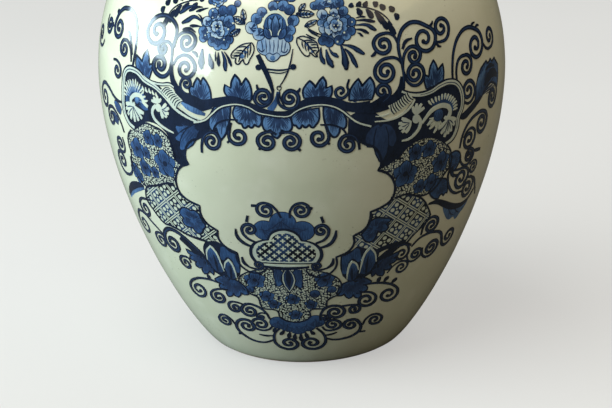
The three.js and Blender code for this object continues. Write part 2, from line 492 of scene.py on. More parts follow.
def cusp(x, arc):
    """A point where a stroke or an outline turns sharply."""
    return (x, arc, "VECTOR")


def between(start, end, part):
    return (start[0] + (end[0] - start[0]) * part, start[1] + (end[1] - start[1]) * part)


def grown(outline, middle, share):
    """The same outline at another size round its middle."""
    return [(*between(middle, point, share), *point[2:]) for point in outline]


def bowed(start, end, bow=0.0, steps=4):
    """Points from start to end, bowed to the left by that share of the length."""
    run = end[0] - start[0]
    climb = end[1] - start[1]
    points = []
    for step in range(steps + 1):
        part = step / steps
        side = bow * 4 * part * (1 - part)
        x, arc = between(start, end, part)
        points.append((x - climb * side, arc + run * side))
    return points


def round_point(eye, radius, degrees):
    angle = math.radians(degrees)
    return (eye[0] + radius * math.cos(angle), eye[1] + radius * math.sin(angle))


def spread(width, count):
    """A width for each of count points, from one width or from a few along the stroke."""
    ends = (0.95, 0.85) if count == 2 else (0.55, 1, 1, 0.5)
    few = width if isinstance(width, tuple) else widths(width, ends)
    return np.interp(np.linspace(0, 1, count), np.linspace(0, 1, len(few)), few)


def widths(width, shares):
    return tuple(width * share for share in shares)


PETAL = (0.62, 1, 1.06, 0.8, 0.18)
PRESSED = (0.3, 0.75, 1.1, 1.1, 0.5)
BORDER = (1.2, 1, 1, 1.2)
DAHLIA_RINGS = ((0.8, 11, 0.25), (0.52, 8, 0.24), (0.2, 5, 0.2))  # how far out, how many, how large


class Pen:
    """Draws a panel: flat, in millimetres right of a meridian and up along the wall from the foot."""

    def __init__(self, panel, meridian=0, side=1):
        self.panel = panel
        self.meridian = side * math.radians(meridian)
        self.side = side
        self.sheets = {}
        self.count = 0

    def sheet(self, paint):
        return self.sheets.setdefault(paint, {"strokes": [], "shapes": [], "discs": []})

    def flat(self, point):
        return (self.side * point[0], *point[1:])

    def height(self, paint, level):
        """Every stroke lies a hair above the last, so that no two share a plane."""
        self.count += 1
        return COAT * (LEVELS[paint] if level is None else level) + HAIR * (self.count % HAIR_COUNT)

    def stroke(self, paint, points, width, level=None):
        placed = []
        for x, arc, *kind in points:
            loose = (x + vary(-UNSTEADY, UNSTEADY), arc + vary(-UNSTEADY, UNSTEADY), *kind)
            placed.append(self.flat(loose))
        self.sheet(paint)["strokes"].append((placed, spread(width, len(points)), self.height(paint, level)))

    def shape(self, paint, outline, level=None, root=None):
        placed = [self.flat(point) for point in outline]
        start = self.flat(root) if root else None
        self.sheet(paint)["shapes"].append((placed, self.height(paint, level), start))

    def disc(self, paint, centre, radius, level=None, root=270):
        """A round spot, its paint thickest towards its root, in degrees."""
        x, arc = self.flat(centre)
        lean = math.radians(root if self.side > 0 else 180 - root)
        self.sheet(paint)["discs"].append((x, arc, radius, self.height(paint, level), lean))

    def dark(self, points, width, level=None):
        self.stroke("line", points, width, level)

    def bare(self, points, width, level=None):
        """A stroke of glaze left bare."""
        self.stroke("reserve", points, width, level)

    def line(self, points, width):
        """A full stroke of dark cobalt, a little thinner along its middle."""
        self.dark(points, width)
        broad = max(width) if isinstance(width, tuple) else width
        if broad > 1.4 and len(points) > 3:
            self.stroke("core", points[1:-1], tuple(0.3 * part for part in spread(width, 4)))

    def curl(self, stem, eye, turns, width=2.2):
        """A stem that winds into its eye: a positive number of turns is anticlockwise."""
        reach = math.dist(stem[-1], eye)
        start = math.degrees(math.atan2(stem[-1][1] - eye[1], stem[-1][0] - eye[0]))
        steps = round(abs(turns) * 9)
        wound = [
            round_point(eye, reach * (1 - 0.8 * step / steps), start + 360 * turns * step / steps)
            for step in range(1, steps + 1)
        ]
        self.line([*stem, *wound], widths(width, (0.6, 1, 1, 0.95, 0.7)))
        self.disc("line", wound[-1], 0.56 * width)

    def leaflet(self, root, belly, tip, width):
        """A pressed oval, thinner in paint along its middle when it is broad."""
        path = (root, belly, between(belly, tip, 0.55), tip)
        self.dark(path, widths(width, (0.3, 0.9, 1.2, 0.7)))
        self.disc("line", tip, 0.34 * width)
        if width > 1.7:
            self.stroke("core", path, widths(width, (0.1, 0.36, 0.5, 0.2)))

    def dash(self, start, end, width=2.4, bow=None):
        """A pressed stroke of the brush, thin where it starts and full towards its end."""
        bend = vary(-0.06, 0.06) if bow is None else bow
        self.dark(bowed(start, end, bend), widths(width, PRESSED))

    def dashes(self, width, *rows):
        for x, arc, end_x, end_arc in rows:
            self.dash((x, arc), (end_x, end_arc), width)

    def lobe(self, paint, base, tip, width, order=0, bow=0.0):
        """One pointed lobe of a leaf: an outline, its wash over it, and streaks over that."""
        level = LEVELS[paint] + LOBE_COATS * order
        path = bowed(base, tip, bow)
        self.dark(path, tuple(width * part + 1.2 for part in PETAL), level - 1)
        near = between(path[-1], path[-2], 0.07)
        self.stroke(paint, [*path[:-1], near], widths(width, PETAL), level)
        if width > 2.2:
            reach = math.dist(base, tip)
            run = (tip[0] - base[0]) / reach
            climb = (tip[1] - base[1]) / reach
            for share in (-0.3, -0.1, 0.09, 0.28):
                side = share * width
                foot = (base[0] - climb * side, base[1] + run * side)
                far = reach * vary(0.6, 0.8)
                top = (foot[0] + run * far, foot[1] + climb * far)
                full = vary(0.5, 0.8)
                self.stroke("streak", bowed(foot, top, bow, 3), (0.5, full, 0.2), level + 1)

    def leaf(self, paint, base, tips, width, order=0):
        """Lobes from one base, the outer ones first and the middle one over them."""
        middle = len(tips) // 2
        outer = [index for index in range(len(tips)) if index != middle]
        for place, index in enumerate([*outer, middle]):
            self.lobe(paint, base, tips[index], width, order + min(place, 3), 0.10 * (index - middle))

    def cut_leaf(self, paint, root, outline, rim=1.0, level=None):
        """A leaf by its outline, with streaks of the brush from its root towards its edge."""
        base = LEVELS[paint] if level is None else level
        self.shape(paint, outline, base, root)
        closed = [*outline, outline[0]]
        self.dark(closed, (rim, 1.15 * rim, rim), base + 2)
        for start, end in zip(outline, outline[1:]):
            for goal in (start, between(start, end, 0.5)):
                near = between(root, goal, vary(0.15, 0.4))
                far = between(root, goal, vary(0.7, 0.93))
                full = vary(0.5, 1.0)
                self.stroke("streak", bowed(near, far, 0.03, 2), (0.35, full, 0.3), base + 1)

    def bloom(self, paint, centre, radius, order=0, root=270):
        """A round petal: an outline, a wash and a few strokes of shade from its root."""
        level = LEVELS[paint] + LOBE_COATS * order
        self.disc("line", centre, radius + 0.42, level - 1)
        self.disc(paint, centre, radius, level, root)
        for lean in (-54, -28, 0, 27, 52):
            rim = round_point(centre, radius * 0.9, root + lean + vary(-6, 6))
            goal = round_point(centre, radius * vary(0.1, 0.6), root + 180 + 0.6 * lean)
            self.stroke("streak", bowed(rim, goal, 0.06, 3), (0.8, 0.5, 0.2), level + 1)

    def blooms(self, order, *rows):
        for paint, x, arc, radius, root in rows:
            self.bloom(paint, (x, arc), radius, order, root)

    def dahlia(self, centre, radius):
        """A full round flower: rings of round petals, each dark at its root, the inner over the outer."""
        for ring, (share, count, size) in enumerate(DAHLIA_RINGS):
            level = LEVELS["wash"] + LOBE_COATS * ring
            start = vary(0, 360)
            for index in range(count):
                turn = start + 360 * index / count + vary(-9, 9)
                petal = radius * size * vary(0.8, 1.2)
                middle = round_point(centre, radius * share * vary(0.88, 1.1), turn)
                kind = hand.choice(("pale", "wash", "wash", "deep"))
                self.disc("line", middle, petal + 0.45, level - 1)
                self.disc(kind, middle, petal, level, turn + 180)
                root = round_point(middle, petal * 0.9, turn + 180)
                for lean in (-40, -14, 12, 38):
                    far = round_point(root, petal * vary(0.7, 1.4), turn + lean)
                    self.stroke("streak", bowed(root, far, 0.05, 2), (0.8, 0.5, 0.2), level + 1)
                if index % 3 == 0:
                    self.disc("reserve", round_point(middle, petal * 1.05, turn + 60), vary(0.3, 0.5))
        self.disc("line", centre, radius * 0.12, LEVELS["line"] - 1)
        for turn in (20, 150, 260):
            self.disc("reserve", round_point(centre, radius * 0.13, turn), 0.34)

    def blossom(self, centre, radius):
        """A small open flower of five petals on the net."""
        reach = radius * 1.14
        for index in range(5):
            turn = 72 * index + vary(-8, 8) + 18
            self.lobe("deep", centre, round_point(centre, reach, turn), reach * 0.85, index % 2)
        self.disc("line", centre, reach * 0.2)

    def fan(self, paint, eye, turns, reaches, count, width=1.0, level=None):
        """Strokes that spread like a shell's ribs, between two directions in degrees."""
        first, last = turns
        inner, outer = reaches
        for index in range(count):
            turn = first + (last - first) * index / (count - 1)
            start = round_point(eye, inner, turn)
            end = round_point(eye, outer * vary(0.9, 1.05), turn + vary(-2, 2))
            self.stroke(paint, bowed(start, end, 0.04, 3), widths(width, (0.3, 0.8, 1, 0.4)), level)

    def rays(self, paint, root, tips, width=1.4, level=None):
        """Strokes from one point, fullest near their ends."""
        for tip in tips:
            self.stroke(paint, bowed(root, tip, 0.05, 3), widths(width, (0.3, 0.85, 1.1, 0.7)), level)

    def veined_leaf(self, base, tip, width):
        """A leaf in outline, with a midrib and pairs of veins."""
        half = 0.5 * width / math.dist(base, tip)
        fine = 0.13 + 0.085 * width
        left = bowed(base, tip, half, 6)
        right = bowed(base, tip, -half, 6)
        for edge in (left, right):
            self.dark(edge, (fine, 1.2 * fine, 1.2 * fine, fine))
        ribs = bowed(base, tip, 0, 6)
        self.stroke("wash", ribs, widths(0.5 * width, (0.8, 1, 0.8, 0.2)))
        self.dark(ribs, (1.2 * fine, fine, 0.25))
        for index in (1, 2, 3, 4) if width > 3 else (1, 3):
            for edge in (left, right):
                self.dark(bowed(ribs[index], edge[index + 1], 0, 2), (fine, fine, 0.2))

    def drawn_leaf(self, outline, veins, blots):
        """A lobed leaf in outline on the bare glaze, with its veins and a wash between them."""
        self.dark([*outline, outline[0]], (0.6, 0.75, 0.6))
        for spot, radius in blots:
            self.disc("wash", spot, radius)
        for vein in veins:
            self.dark(vein, (0.5, 0.8, 0.7, 0.3))

    def finish(self):
        for paint, sheet in self.sheets.items():
            name = f"{self.panel}_{paint}"
            lay_on_wall(flat_paint(sheet), self.meridian, self.side, name, PAINTS[paint])


def curve_mesh(name, settings, splines, closed):
    """A mesh from splines of knots, each a place with a handle type and a radius."""
    data = bpy.data.curves.new(name, "CURVE")
    for key, value in settings.items():
        setattr(data, key, value)
    for knots in splines:
        spline = data.splines.new("BEZIER")
        spline.use_cyclic_u = closed
        spline.bezier_points.add(len(knots) - 1)
        for point, (place, handle, radius) in zip(spline.bezier_points, knots):
            point.co = place
            point.handle_left_type = handle
            point.handle_right_type = handle
            point.radius = radius
            point.tilt = math.pi / 2
    holder = bpy.data.objects.new(name, data)
    mesh = bpy.data.meshes.new_from_object(holder)
    bpy.data.objects.remove(holder)
    bpy.data.curves.remove(data)
    return mesh


def knot(point, height, radius=1.0):
    return ((point[0], point[1], height), point[2] if len(point) > 2 else "AUTO", radius)


RIBBON = {"dimensions": "3D", "twist_mode": "Z_UP", "resolution_u": 5, "extrude": 0.5}
FILLED = {"dimensions": "2D", "fill_mode": "BOTH", "resolution_u": 6}


def pour(paper, mesh, height=0.0):
    """Adds a flat mesh to the paper, at a height, and gives its points."""
    before = len(paper.verts)
    paper.from_mesh(mesh)
    paper.verts.ensure_lookup_table()
    added = paper.verts[before:]
    bmesh.ops.translate(paper, vec=(0, 0, height), verts=added)
    bpy.data.meshes.remove(mesh)
    return added


def load_brush(paper, verts, loads):
    layer = paper.verts.layers.float.get("load") or paper.verts.layers.float.new("load")
    for vert, load in zip(verts, loads):
        vert[layer] = load


def ribbon_loads(splines):
    """From 1 at the start of each ribbon to 0 at its end, two points at every ring."""
    loads = []
    for knots in splines:
        kinds = [kind for _, kind, _ in knots]
        straight = sum(pair == ("VECTOR", "VECTOR") for pair in zip(kinds, kinds[1:]))
        rings = 1 + straight + RIBBON["resolution_u"] * (len(kinds) - 1 - straight)
        loads.extend(np.repeat(np.linspace(1, 0, rings), 2))
    return loads


def cut_small(paper):
    for axis in (0, 1):
        reach = [vert.co[axis] for vert in paper.verts]
        for step in range(math.ceil(min(reach) / CUT_STEP), math.floor(max(reach) / CUT_STEP) + 1):
            place = [0, 0, 0]
            normal = [0, 0, 0]
            place[axis] = step * CUT_STEP
            normal[axis] = 1
            everything = [*paper.verts, *paper.edges, *paper.faces]
            bmesh.ops.bisect_plane(paper, geom=everything, dist=1e-5, plane_co=place, plane_no=normal)


def flat_paint(sheet):
    """One coat of one panel as a closed flat plate, face up."""
    paper = bmesh.new()
    load_brush(paper, [], [])
    for outline, height, root in sheet["shapes"]:
        mesh = curve_mesh("shape", FILLED, [[knot(point, 0) for point in outline]], True)
        added = pour(paper, mesh, height)
        away = [math.dist(vert.co[:2], root) if root else 1 for vert in added]
        load_brush(paper, added, [0.5 if root is None else 1.1 - far / max(away) for far in away])
    for x, arc, radius, height, lean in sheet["discs"]:
        made = bmesh.ops.create_circle(
            paper,
            cap_ends=True,
            segments=max(10, round(radius * 7)),
            radius=radius,
            matrix=Matrix.Translation((x, arc, height)),
        )["verts"]
        towards = Vector((math.cos(lean), math.sin(lean))) * (0.5 / radius)
        load_brush(paper, made, [0.5 + towards.dot(vert.co.xy - Vector((x, arc))) for vert in made])
    if sheet["shapes"] or sheet["discs"]:
        cut_small(paper)
    splines = [
        [knot(point, height, radius) for point, radius in zip(points, breadths)]
        for points, breadths, height in sheet["strokes"]
    ]
    if splines:
        added = pour(paper, curve_mesh("strokes", RIBBON, splines, False))
        loads = ribbon_loads(splines)
        if len(added) != len(loads):
            raise ValueError("the ribbons' rings were counted wrongly")
        load_brush(paper, added, loads)
    for _ in range(2):
        wide = [edge for edge in paper.edges if edge.calc_length() > STROKE_STEP]
        bmesh.ops.subdivide_edges(paper, edges=wide, cuts=1, use_grid_fill=True)
    bmesh.ops.dissolve_degenerate(paper, dist=1e-4, edges=paper.edges[:])
    bmesh.ops.reverse_faces(paper, faces=[face for face in paper.faces if face.normal.z < 0])
    bmesh.ops.solidify(paper, geom=paper.faces[:], thickness=PAINT_DEPTH)
    return paper


def object_from(paper, name, material):
    mesh = bpy.data.meshes.new(name)
    paper.to_mesh(mesh)
    paper.free()
    mesh.materials.append(material)
    piece = bpy.data.objects.new(name, mesh)
    bpy.context.scene.collection.objects.link(piece)
    return piece


def read(collection, key, width):
    values = np.empty(len(collection) * width)
    collection.foreach_get(key, values)
    return values.reshape(-1, width)


def lay_on_wall(paper, meridian, side, name, material):
    """Wraps flat paint round the jar, lit as smoothly as the wall under it."""
    piece = object_from(paper, name, material)
    mesh = piece.data
    drawn = read(mesh.vertices, "co", 3)
    angle = meridian + drawn[:, 0] / wall_radius(drawn[:, 1])
    places, out = on_wall(angle, drawn[:, 1], drawn[:, 2])
    mesh.vertices.foreach_set("co", (places * MM).ravel())
    pattern = mesh.attributes.new("drawn_at", "FLOAT_VECTOR", "POINT")
    pattern.data.foreach_set("vector", (drawn * (side, 1, 1)).ravel())
    mesh.polygons.foreach_set("use_smooth", np.ones(len(mesh.polygons), bool))
    mesh.update()
    corners = read(mesh.loops, "vertex_index", 1)[:, 0].astype(int)
    totals = read(mesh.polygons, "loop_total", 1)[:, 0].astype(int)
    flat = np.repeat(read(mesh.polygons, "normal", 3), totals, axis=0)
    straight = out[corners]
    facing = (flat * straight).sum(1)[:, None]
    mesh.normals_split_custom_set(np.where(np.abs(facing) > 0.7, np.sign(facing) * straight, flat))
    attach(piece, "jar")


# The front: a bouquet in a goblet, over a garland.


def paint_bouquet():
    pen = Pen("bouquet")
    pen.blooms(
        1,
        ("wash", -2, 221.6, 2.3, 270), ("wash", 2.8, 222, 2.5, 270), ("wash", -7.4, 218.6, 2.3, 300),
        ("deep", 5.9, 220, 2.4, 240), ("wash", -10, 215.4, 2.5, 320), ("wash", 7.9, 214.6, 2.6, 200),
        ("pale", -12.4, 210.9, 2.8, 0), ("wash", 6.5, 210, 2.4, 180), ("pale", -8.7, 207.9, 2.8, 40),
        ("deep", 5.9, 206.4, 1.9, 120),
    )
    pen.bloom("wash", (0, 227.5), 3.2)
    pen.bloom("wash", (6.5, 226.8), 2.8)
    pen.disc("line", (-0.8, 212.4), 5.9, 12)
    pen.disc("deep", (-0.8, 212.4), 5.3, 13)
    for order, tip in enumerate(((-3.8, 215.8), (2.2, 215.8), (-0.8, 217))):
        pen.lobe("wash", (-0.8, 207.6), tip, 3, 3 + (order == 2))
    for side in (-1, 1):
        pen.lobe("deep", (-0.8 + side * 1.4, 206.8), (-0.8 + side * 4.8, 210.8), 2.8, 4, side * -0.15)
        edge = bowed((-0.8 + side * 1.6, 207.4), (-0.8 + side * 2.8, 210.4), side * 0.1)
        pen.bare(edge, 0.5)
    halo = [(-6.9, 212), (-5.5, 216.3), (-0.9, 218.9), (3.7, 216.4), (5.3, 212)]
    pen.bare(halo, (0.5, 1.2, 1.4, 1.2, 0.5))
    paint_goblet(pen)
    for x, arc, end_x, end_arc in (
        (36.4, 222, 35.6, 219.6), (40, 222.6, 39.4, 219.8), (43.6, 222.4, 42.6, 219.4),
        (47, 221.6, 49.6, 219.4), (50.6, 220, 53.6, 217.4), (55.6, 218.4, 58.4, 215.6),
        (58.8, 214.8, 61.4, 211.8), (38.6, 219, 41.2, 215.8), (43.6, 218.4, 47.2, 213.8),
        (48, 216.8, 52, 210.4), (52, 214, 55.2, 207.4), (55.4, 211.4, 59.4, 204.6),
    ):
        left = (-3 - x, arc + 2.4, -3 - end_x, end_arc + 2.4)
        pen.dashes(2.6, (x, arc, end_x, end_arc), left)
    pen.line([(38, 220.4), (46, 218.4), (53, 214.6), (57.6, 209.4)], 0.7)
    pen.line([(-41, 222.8), (-49, 220.8), (-56, 217), (-60.6, 211.8)], 0.7)
    paint_bouquet_top(pen)
    pen.finish()
    paint_right_flower()
    paint_left_flower()


def paint_right_flower():
    pen = Pen("right_flower", 15)
    pen.dahlia((1.8, 211.2), 8)
    pen.blooms(
        2,
        ("deep", -5, 204.6, 2.1, 60), ("deep", -2, 203.6, 2.1, 80), ("deep", 2.9, 204.4, 2.2, 100),
        ("wash", 6.6, 206.4, 2.1, 130), ("deep", 9.2, 208.4, 2, 160), ("deep", 9.6, 212.8, 2, 180),
        ("pale", -4.4, 217.2, 2.4, 300), ("pale", 1.4, 218, 1.9, 270), ("wash", 6, 218.4, 2.2, 230),
        ("wash", -5, 222.2, 2.7, 270), ("pale", -1.8, 223.2, 2.4, 260), ("wash", 1.4, 222.2, 2.5, 250),
        ("deep", 4.4, 222.4, 2.1, 240), ("wash", -8, 221.6, 1.8, 300),
    )
    pen.dahlia((-1, 227.5), 4.6)
    pen.drawn_leaf(
        [
            cusp(-17.3, 206.3), (-17.7, 204), (-16.7, 202), (-15, 198.7), (-13, 197.3), cusp(-12, 197.7),
            cusp(-11.7, 199.2), (-10.7, 198.3), (-9.3, 197.2), cusp(-8, 197), cusp(-8.3, 198.7), (-7.3, 200),
            (-7.7, 202), (-8, 203.7), (-9.7, 205), (-12.3, 206.3), (-15, 207),
        ],
        (
            ((-15, 204.7), (-15, 203), (-14.5, 201)), ((-13.6, 204), (-13.6, 202), (-13.2, 199.8)),
            ((-12.3, 202.3), (-12.3, 201), (-12.1, 199.7)), ((-14, 205), (-11.6, 205), (-9.3, 204.7)),
            ((-12.7, 204), (-10.5, 204), (-8.3, 203.8)), ((-11, 202.8), (-9.5, 202.9), (-8, 202.8)),
            ((-10.7, 201.5), (-9.2, 201.5), (-7.8, 201.3)), ((-10.3, 200.1), (-9, 200), (-8, 199.7)),
            ((-16.4, 206.2), (-13.7, 204.3), (-11, 200.8), (-8.3, 197.2)),
        ),
        (((-12.6, 203), 0.8), ((-11.4, 201.4), 0.9), ((-10.2, 199.6), 0.8)),
    )
    pen.veined_leaf((-17, 217.8), (-8.2, 217.6), 3.6)
    pen.veined_leaf((-15.6, 219), (-12, 223), 2.4)
    pen.veined_leaf((-13.4, 211.6), (-7, 214.6), 2.6)
    for start, end in (
        ((-12, 211), (-5.8, 207.6)), ((-12, 210.2), (-6.6, 206.6)), ((-13, 208), (-8.4, 205.8)),
    ):
        pen.dark(bowed(start, end, -0.05), (0.4, 0.9, 0.9, 0.4))
    for row in (
        ((-6.2, 201.4), (-6.3, 196.7), (-5, 193.8), 2.1), ((-3.7, 200.4), (-3, 196), (-1, 192.2), 2.7),
        ((-2.2, 201), (-0.7, 198.3), (1.8, 196.6), 1.8), ((3.7, 202), (5, 196.7), (5.7, 190.8), 3.2),
        ((5.3, 200.3), (8, 197.3), (11, 191.2), 2.1), ((4.3, 202.2), (9.3, 200.7), (14.7, 197.2), 2.1),
        ((11.8, 214.6), (14.2, 215), (16.6, 214.7), 0.9), ((11.4, 213.4), (16, 213.2), (21.2, 212), 1.5),
        ((11.1, 211.3), (17.4, 210.6), (21.5, 208), 1.9), ((11.1, 209.2), (14.3, 208.7), (17.6, 206.8), 1.5),
        ((12.1, 207.4), (13.4, 206.8), (14.8, 205.5), 1.1),
    ):
        pen.leaflet(*row)
    pen.finish()


def paint_left_flower():
    pen = Pen("left_flower", -16)
    pen.dahlia((-1.2, 210.4), 8.2)
    pen.blooms(
        2,
        ("deep", 0.4, 218.6, 2.2, 270), ("deep", 4.8, 218.8, 2.6, 250), ("wash", -4.4, 216.8, 2.4, 300),
        ("wash", 4.4, 213.6, 2.7, 260), ("pale", -7.2, 212.6, 2.3, 330), ("wash", -8.9, 207.7, 2.3, 0),
        ("wash", -8.4, 204.6, 2.1, 30), ("wash", -3.4, 203, 2.2, 70), ("wash", -0.2, 201.6, 2.3, 90),
        ("wash", 3.4, 202.2, 2.4, 120), ("deep", 5.6, 204.6, 2, 150), ("pale", 0.8, 207.8, 1.9, 200),
        ("deep", 7.5, 222.4, 1.5, 250),
    )
    pen.dahlia((-3.4, 225.4), 4.8)
    pen.drawn_leaf(
        [
            cusp(17.1, 203.7), (12.7, 202.8), (9.7, 200.7), (7.2, 197.2), cusp(7.6, 196), cusp(9.7, 195.8),
            (9.7, 193.7), (11.1, 193.2), (12.4, 194.3), cusp(13.4, 195.7), (14.1, 193.7), (15.4, 193.3),
            (16.7, 195.7), (18.4, 199), (18.4, 201.7),
        ],
        (
            ((15.1, 201.5), (13, 201.6), (10.7, 201.1)), ((13.4, 199.8), (11.6, 199.8), (9.7, 199.5)),
            ((13.1, 198.5), (10.8, 198.6), (8.4, 198.3)), ((12.1, 197.5), (9.8, 197.4), (7.8, 197.2)),
            ((16.6, 202.7), (16.8, 200), (16.4, 197.7)), ((15.3, 201), (15.5, 198.6), (15.4, 196.3)),
            ((14, 200), (14.3, 198), (14.2, 195.8)), ((11.6, 196.9), (11.6, 195.6), (11.1, 194.3)),
            ((16.6, 203.2), (14, 200.6), (11, 197.2), (8.2, 196.5)),
        ),
        (((12.7, 197), 1.2), ((14.2, 199), 0.9), ((15.4, 201.4), 0.7)),
    )
    pen.veined_leaf((12.2, 213.2), (10.6, 220), 2.6)
    pen.veined_leaf((12.8, 212.6), (6.2, 215.6), 3.4)
    pen.veined_leaf((10.8, 210), (5.4, 206.2), 3.2)
    for row in (
        ((-8.4, 199.2), (-8.6, 195), (-8.3, 190.2), 3.1), ((-4.4, 197.2), (-3.7, 194), (-2.4, 190.6), 2.7),
        ((-1.1, 198.6), (-1, 196.4), (-0.8, 194), 0.9), ((0.4, 198.2), (0.6, 195), (1.1, 191.9), 1.7),
        ((2.1, 198.8), (4.1, 195), (4.7, 189.9), 2.1), ((3.4, 198.8), (5.7, 195.7), (7.5, 192.2), 1.4),
        ((-9.3, 211.9), (-14.6, 214.2), (-21.2, 210.6), 2.2),
        ((-9.6, 209.6), (-13, 210), (-16.4, 209.6), 1.5),
        ((-12.9, 206.8), (-16.4, 208.2), (-20.4, 207.4), 1.7),
        ((-15.4, 219.8), (-19, 218.6), (-23.4, 215.3), 2.2), ((-10.7, 219.4), (-14, 219), (-18, 216.9), 1.6),
        ((-7.5, 219.2), (-10.4, 218.4), (-13.8, 216.9), 1.3),
        ((-12.8, 215.7), (-11.2, 214.6), (-10, 212.9), 0.9),
    ):
        pen.leaflet(*row)
    pen.finish()


def paint_goblet(pen):
    bowl = [
        (-9.2, 204.4), (-5.4, 206.6), (-1.5, 207), (2.6, 206.6), (6, 204.2), (6.6, 201), (5.2, 198.4),
        cusp(2, 197.6), (0.4, 195.6), (-2, 194.8), (-4.2, 195.8), cusp(-5.4, 197.8), (-8, 198.6), (-9.6, 201),
    ]
    pen.shape("pale", bowl)
    pen.dark([*bowl, bowl[0]], 0.6, 9)
    for x in (-7.4, -5.4, -3.4, -1.4, 0.8, 2.8, 4.6):
        pen.stroke("core", bowed((x, 205.4), (x * 0.86 - 0.3, 199.2), 0.03), (0.2, 0.55, 0.2), 10)
    pen.disc("wash", (-1.8, 196.6), 1.3, 11)
    pen.stroke("core", [(-5.2, 198), (-3.4, 199), (-1.6, 198.4), (0.2, 199), (2, 197.8)], 0.5, 12)
    pen.stroke("core", [(5.6, 201), (4.6, 199.4), (3, 199.4), (2.4, 200.6)], 0.6, 12)
    pen.stroke("core", [(-8.8, 201.2), (-7.6, 199.8), (-6.2, 200), (-5.8, 201)], 0.6, 12)
    pen.dark([(-9.2, 198), (-6.6, 193), (-3.4, 186), (-1.6, 180.6)], (2.2, 2.6, 2.4, 1.6))
    pen.line([(8, 201), (6.6, 194), (4.6, 188), (1.3, 182.4)], 0.8)
    pen.line([(-9.6, 192), (-4, 191.2), (3, 191), (9.2, 192.2)], 0.9)
    pen.line([(-6, 190.4), (-2, 189.6), (3, 189.6), (5.6, 190.6)], 0.6)
    pen.disc("line", (-8.8, 192), 1.5)
    pen.disc("line", (8.2, 192.4), 1.5)
    pen.line([(1.4, 181), (2, 177), (3.8, 173.4), (7, 171)], 0.8)
    pen.stroke("deep", [(1, 180.4), (0, 176.6), (-1.4, 173.6), (-3.6, 171)], (1.6, 2.2, 2.8, 3.2), 15)
    ring = [round_point((1.3, 182.2), 1, turn) for turn in range(0, 361, 45)]
    pen.dark(ring, (0.45, 0.45))


def paint_bouquet_top(pen):
    """The bouquet above the photograph's edge."""
    pen.dahlia((-1, 236.5), 6.2)
    for side in (-1, 1):
        pen.bloom("wash", (side * 9.4, 233.2), 2.8)
        pen.bloom("pale", (side * 14.6, 230.4), 2.6)
        pen.bloom("wash", (side * 16.8, 235.2), 2.4)
        pen.veined_leaf((side * 7.6, 238.4), (side * 15.4, 242.6), 3.6)
        pen.veined_leaf((side * 31, 226.6), (side * 38.6, 230.2), 3.4)
        for x, arc, end_x, end_arc in (
            (12, 229.4, 20.6, 229.6), (28.6, 229.4, 31, 235.2), (25, 230.6, 25.4, 238),
            (21.4, 230, 19.4, 237), (3.4, 243.4, 6.4, 248.4), (31.6, 230, 37, 235.4),
        ):
            pen.dashes(2.2, (side * x, arc, side * end_x, end_arc))
    pen.dash((-1, 243.6), (-1, 250), 2.2, 0)


GARLAND_LEAVES = (
    ((19.6, 175), [
        cusp(13.4, 177), (12.9, 180.5), (14.2, 183.4), cusp(16.2, 185.6), (18, 183.6), cusp(18.8, 182.2),
        (20, 184.6), cusp(22.4, 187.2), (23.9, 184.5), cusp(24, 181.8), cusp(26.8, 182.7), (27, 179.6),
        cusp(25.8, 176.4),
    ]),
    ((-18, 174.6), [
        cusp(-12.4, 175.6), (-12.2, 180), (-13.2, 184), cusp(-15, 186.6), (-16.4, 184.6), cusp(-17.4, 182.8),
        (-18.4, 185.6), cusp(-20.6, 188), (-22.4, 184.4), cusp(-22.8, 181.4), cusp(-25.9, 182.6),
        (-26.2, 179.4), cusp(-23.4, 176),
    ]),
    ((41.4, 173.4), [
        cusp(35.4, 175), (35.6, 179), (37.4, 182.4), cusp(39.8, 185.4), (41.4, 182.6), cusp(42, 181.4),
        (43.6, 183.4), cusp(46, 185.4), (48, 182), (48.3, 178.4), cusp(47, 174.5),
    ]),
    ((-38.6, 172.6), [
        cusp(-33.2, 174.4), (-33.8, 179.4), (-35.4, 183), cusp(-37.6, 185.4), (-38.8, 183), cusp(-39, 181.8),
        (-39.6, 183.6), cusp(-41, 184.8), (-42.8, 181.6), cusp(-43.2, 180), cusp(-45.4, 180.6), (-45, 176.6),
        cusp(-42.4, 173.6),
    ]),
    ((0.4, 170.4), [
        cusp(-4.6, 169.6), (-6.9, 166.6), (-7, 163), (-5.2, 160.6), cusp(-3.2, 161.4), (-2.6, 158.8),
        cusp(-0.2, 156.9), (1.6, 159), cusp(2.2, 161.4), (3.8, 160.4), (6.2, 160.8), (7.4, 163.4), (6.8, 167),
        cusp(5, 169.6),
    ]),
    ((-14.6, 173.4), [
        cusp(-20.6, 173), (-22, 169), (-20.8, 165.8), (-19, 164), cusp(-17.6, 163.8), (-16.2, 161.8),
        cusp(-14.2, 163), (-12.6, 162.2), cusp(-11, 163.8), (-9.4, 162.8), (-7.7, 164.4), (-7.6, 167.4),
        cusp(-7.4, 170.4),
    ]),
    ((14.4, 173.4), [
        cusp(7.4, 170.2), (7.2, 166.8), (8, 164), cusp(9.2, 163.6), (10.8, 162), cusp(12.4, 163.9),
        (13.8, 162.6), cusp(15.6, 163.9), (17.4, 162.4), (19, 163.8), (20.6, 166.6), cusp(20.4, 172.2),
    ]),
    ((-27.4, 174), [
        cusp(-22.8, 173.2), (-23.4, 167.6), (-24.2, 163), cusp(-25, 161.6), (-26, 158.4), cusp(-28.6, 154.6),
        (-30.4, 158), cusp(-31, 160.6), (-32.6, 158.8), (-34.8, 160.8), (-34.8, 165), cusp(-31.8, 171.4),
    ]),
    ((26.6, 174), [
        cusp(22.6, 173.4), (22.6, 168), (23.4, 164.6), cusp(24.4, 162.2), (26, 158.4), (28, 157), (30, 158.6),
        cusp(30.8, 161.8), (32.8, 161.2), (34, 164.6), (32.8, 168.4), cusp(30.8, 172.2),
    ]),
)


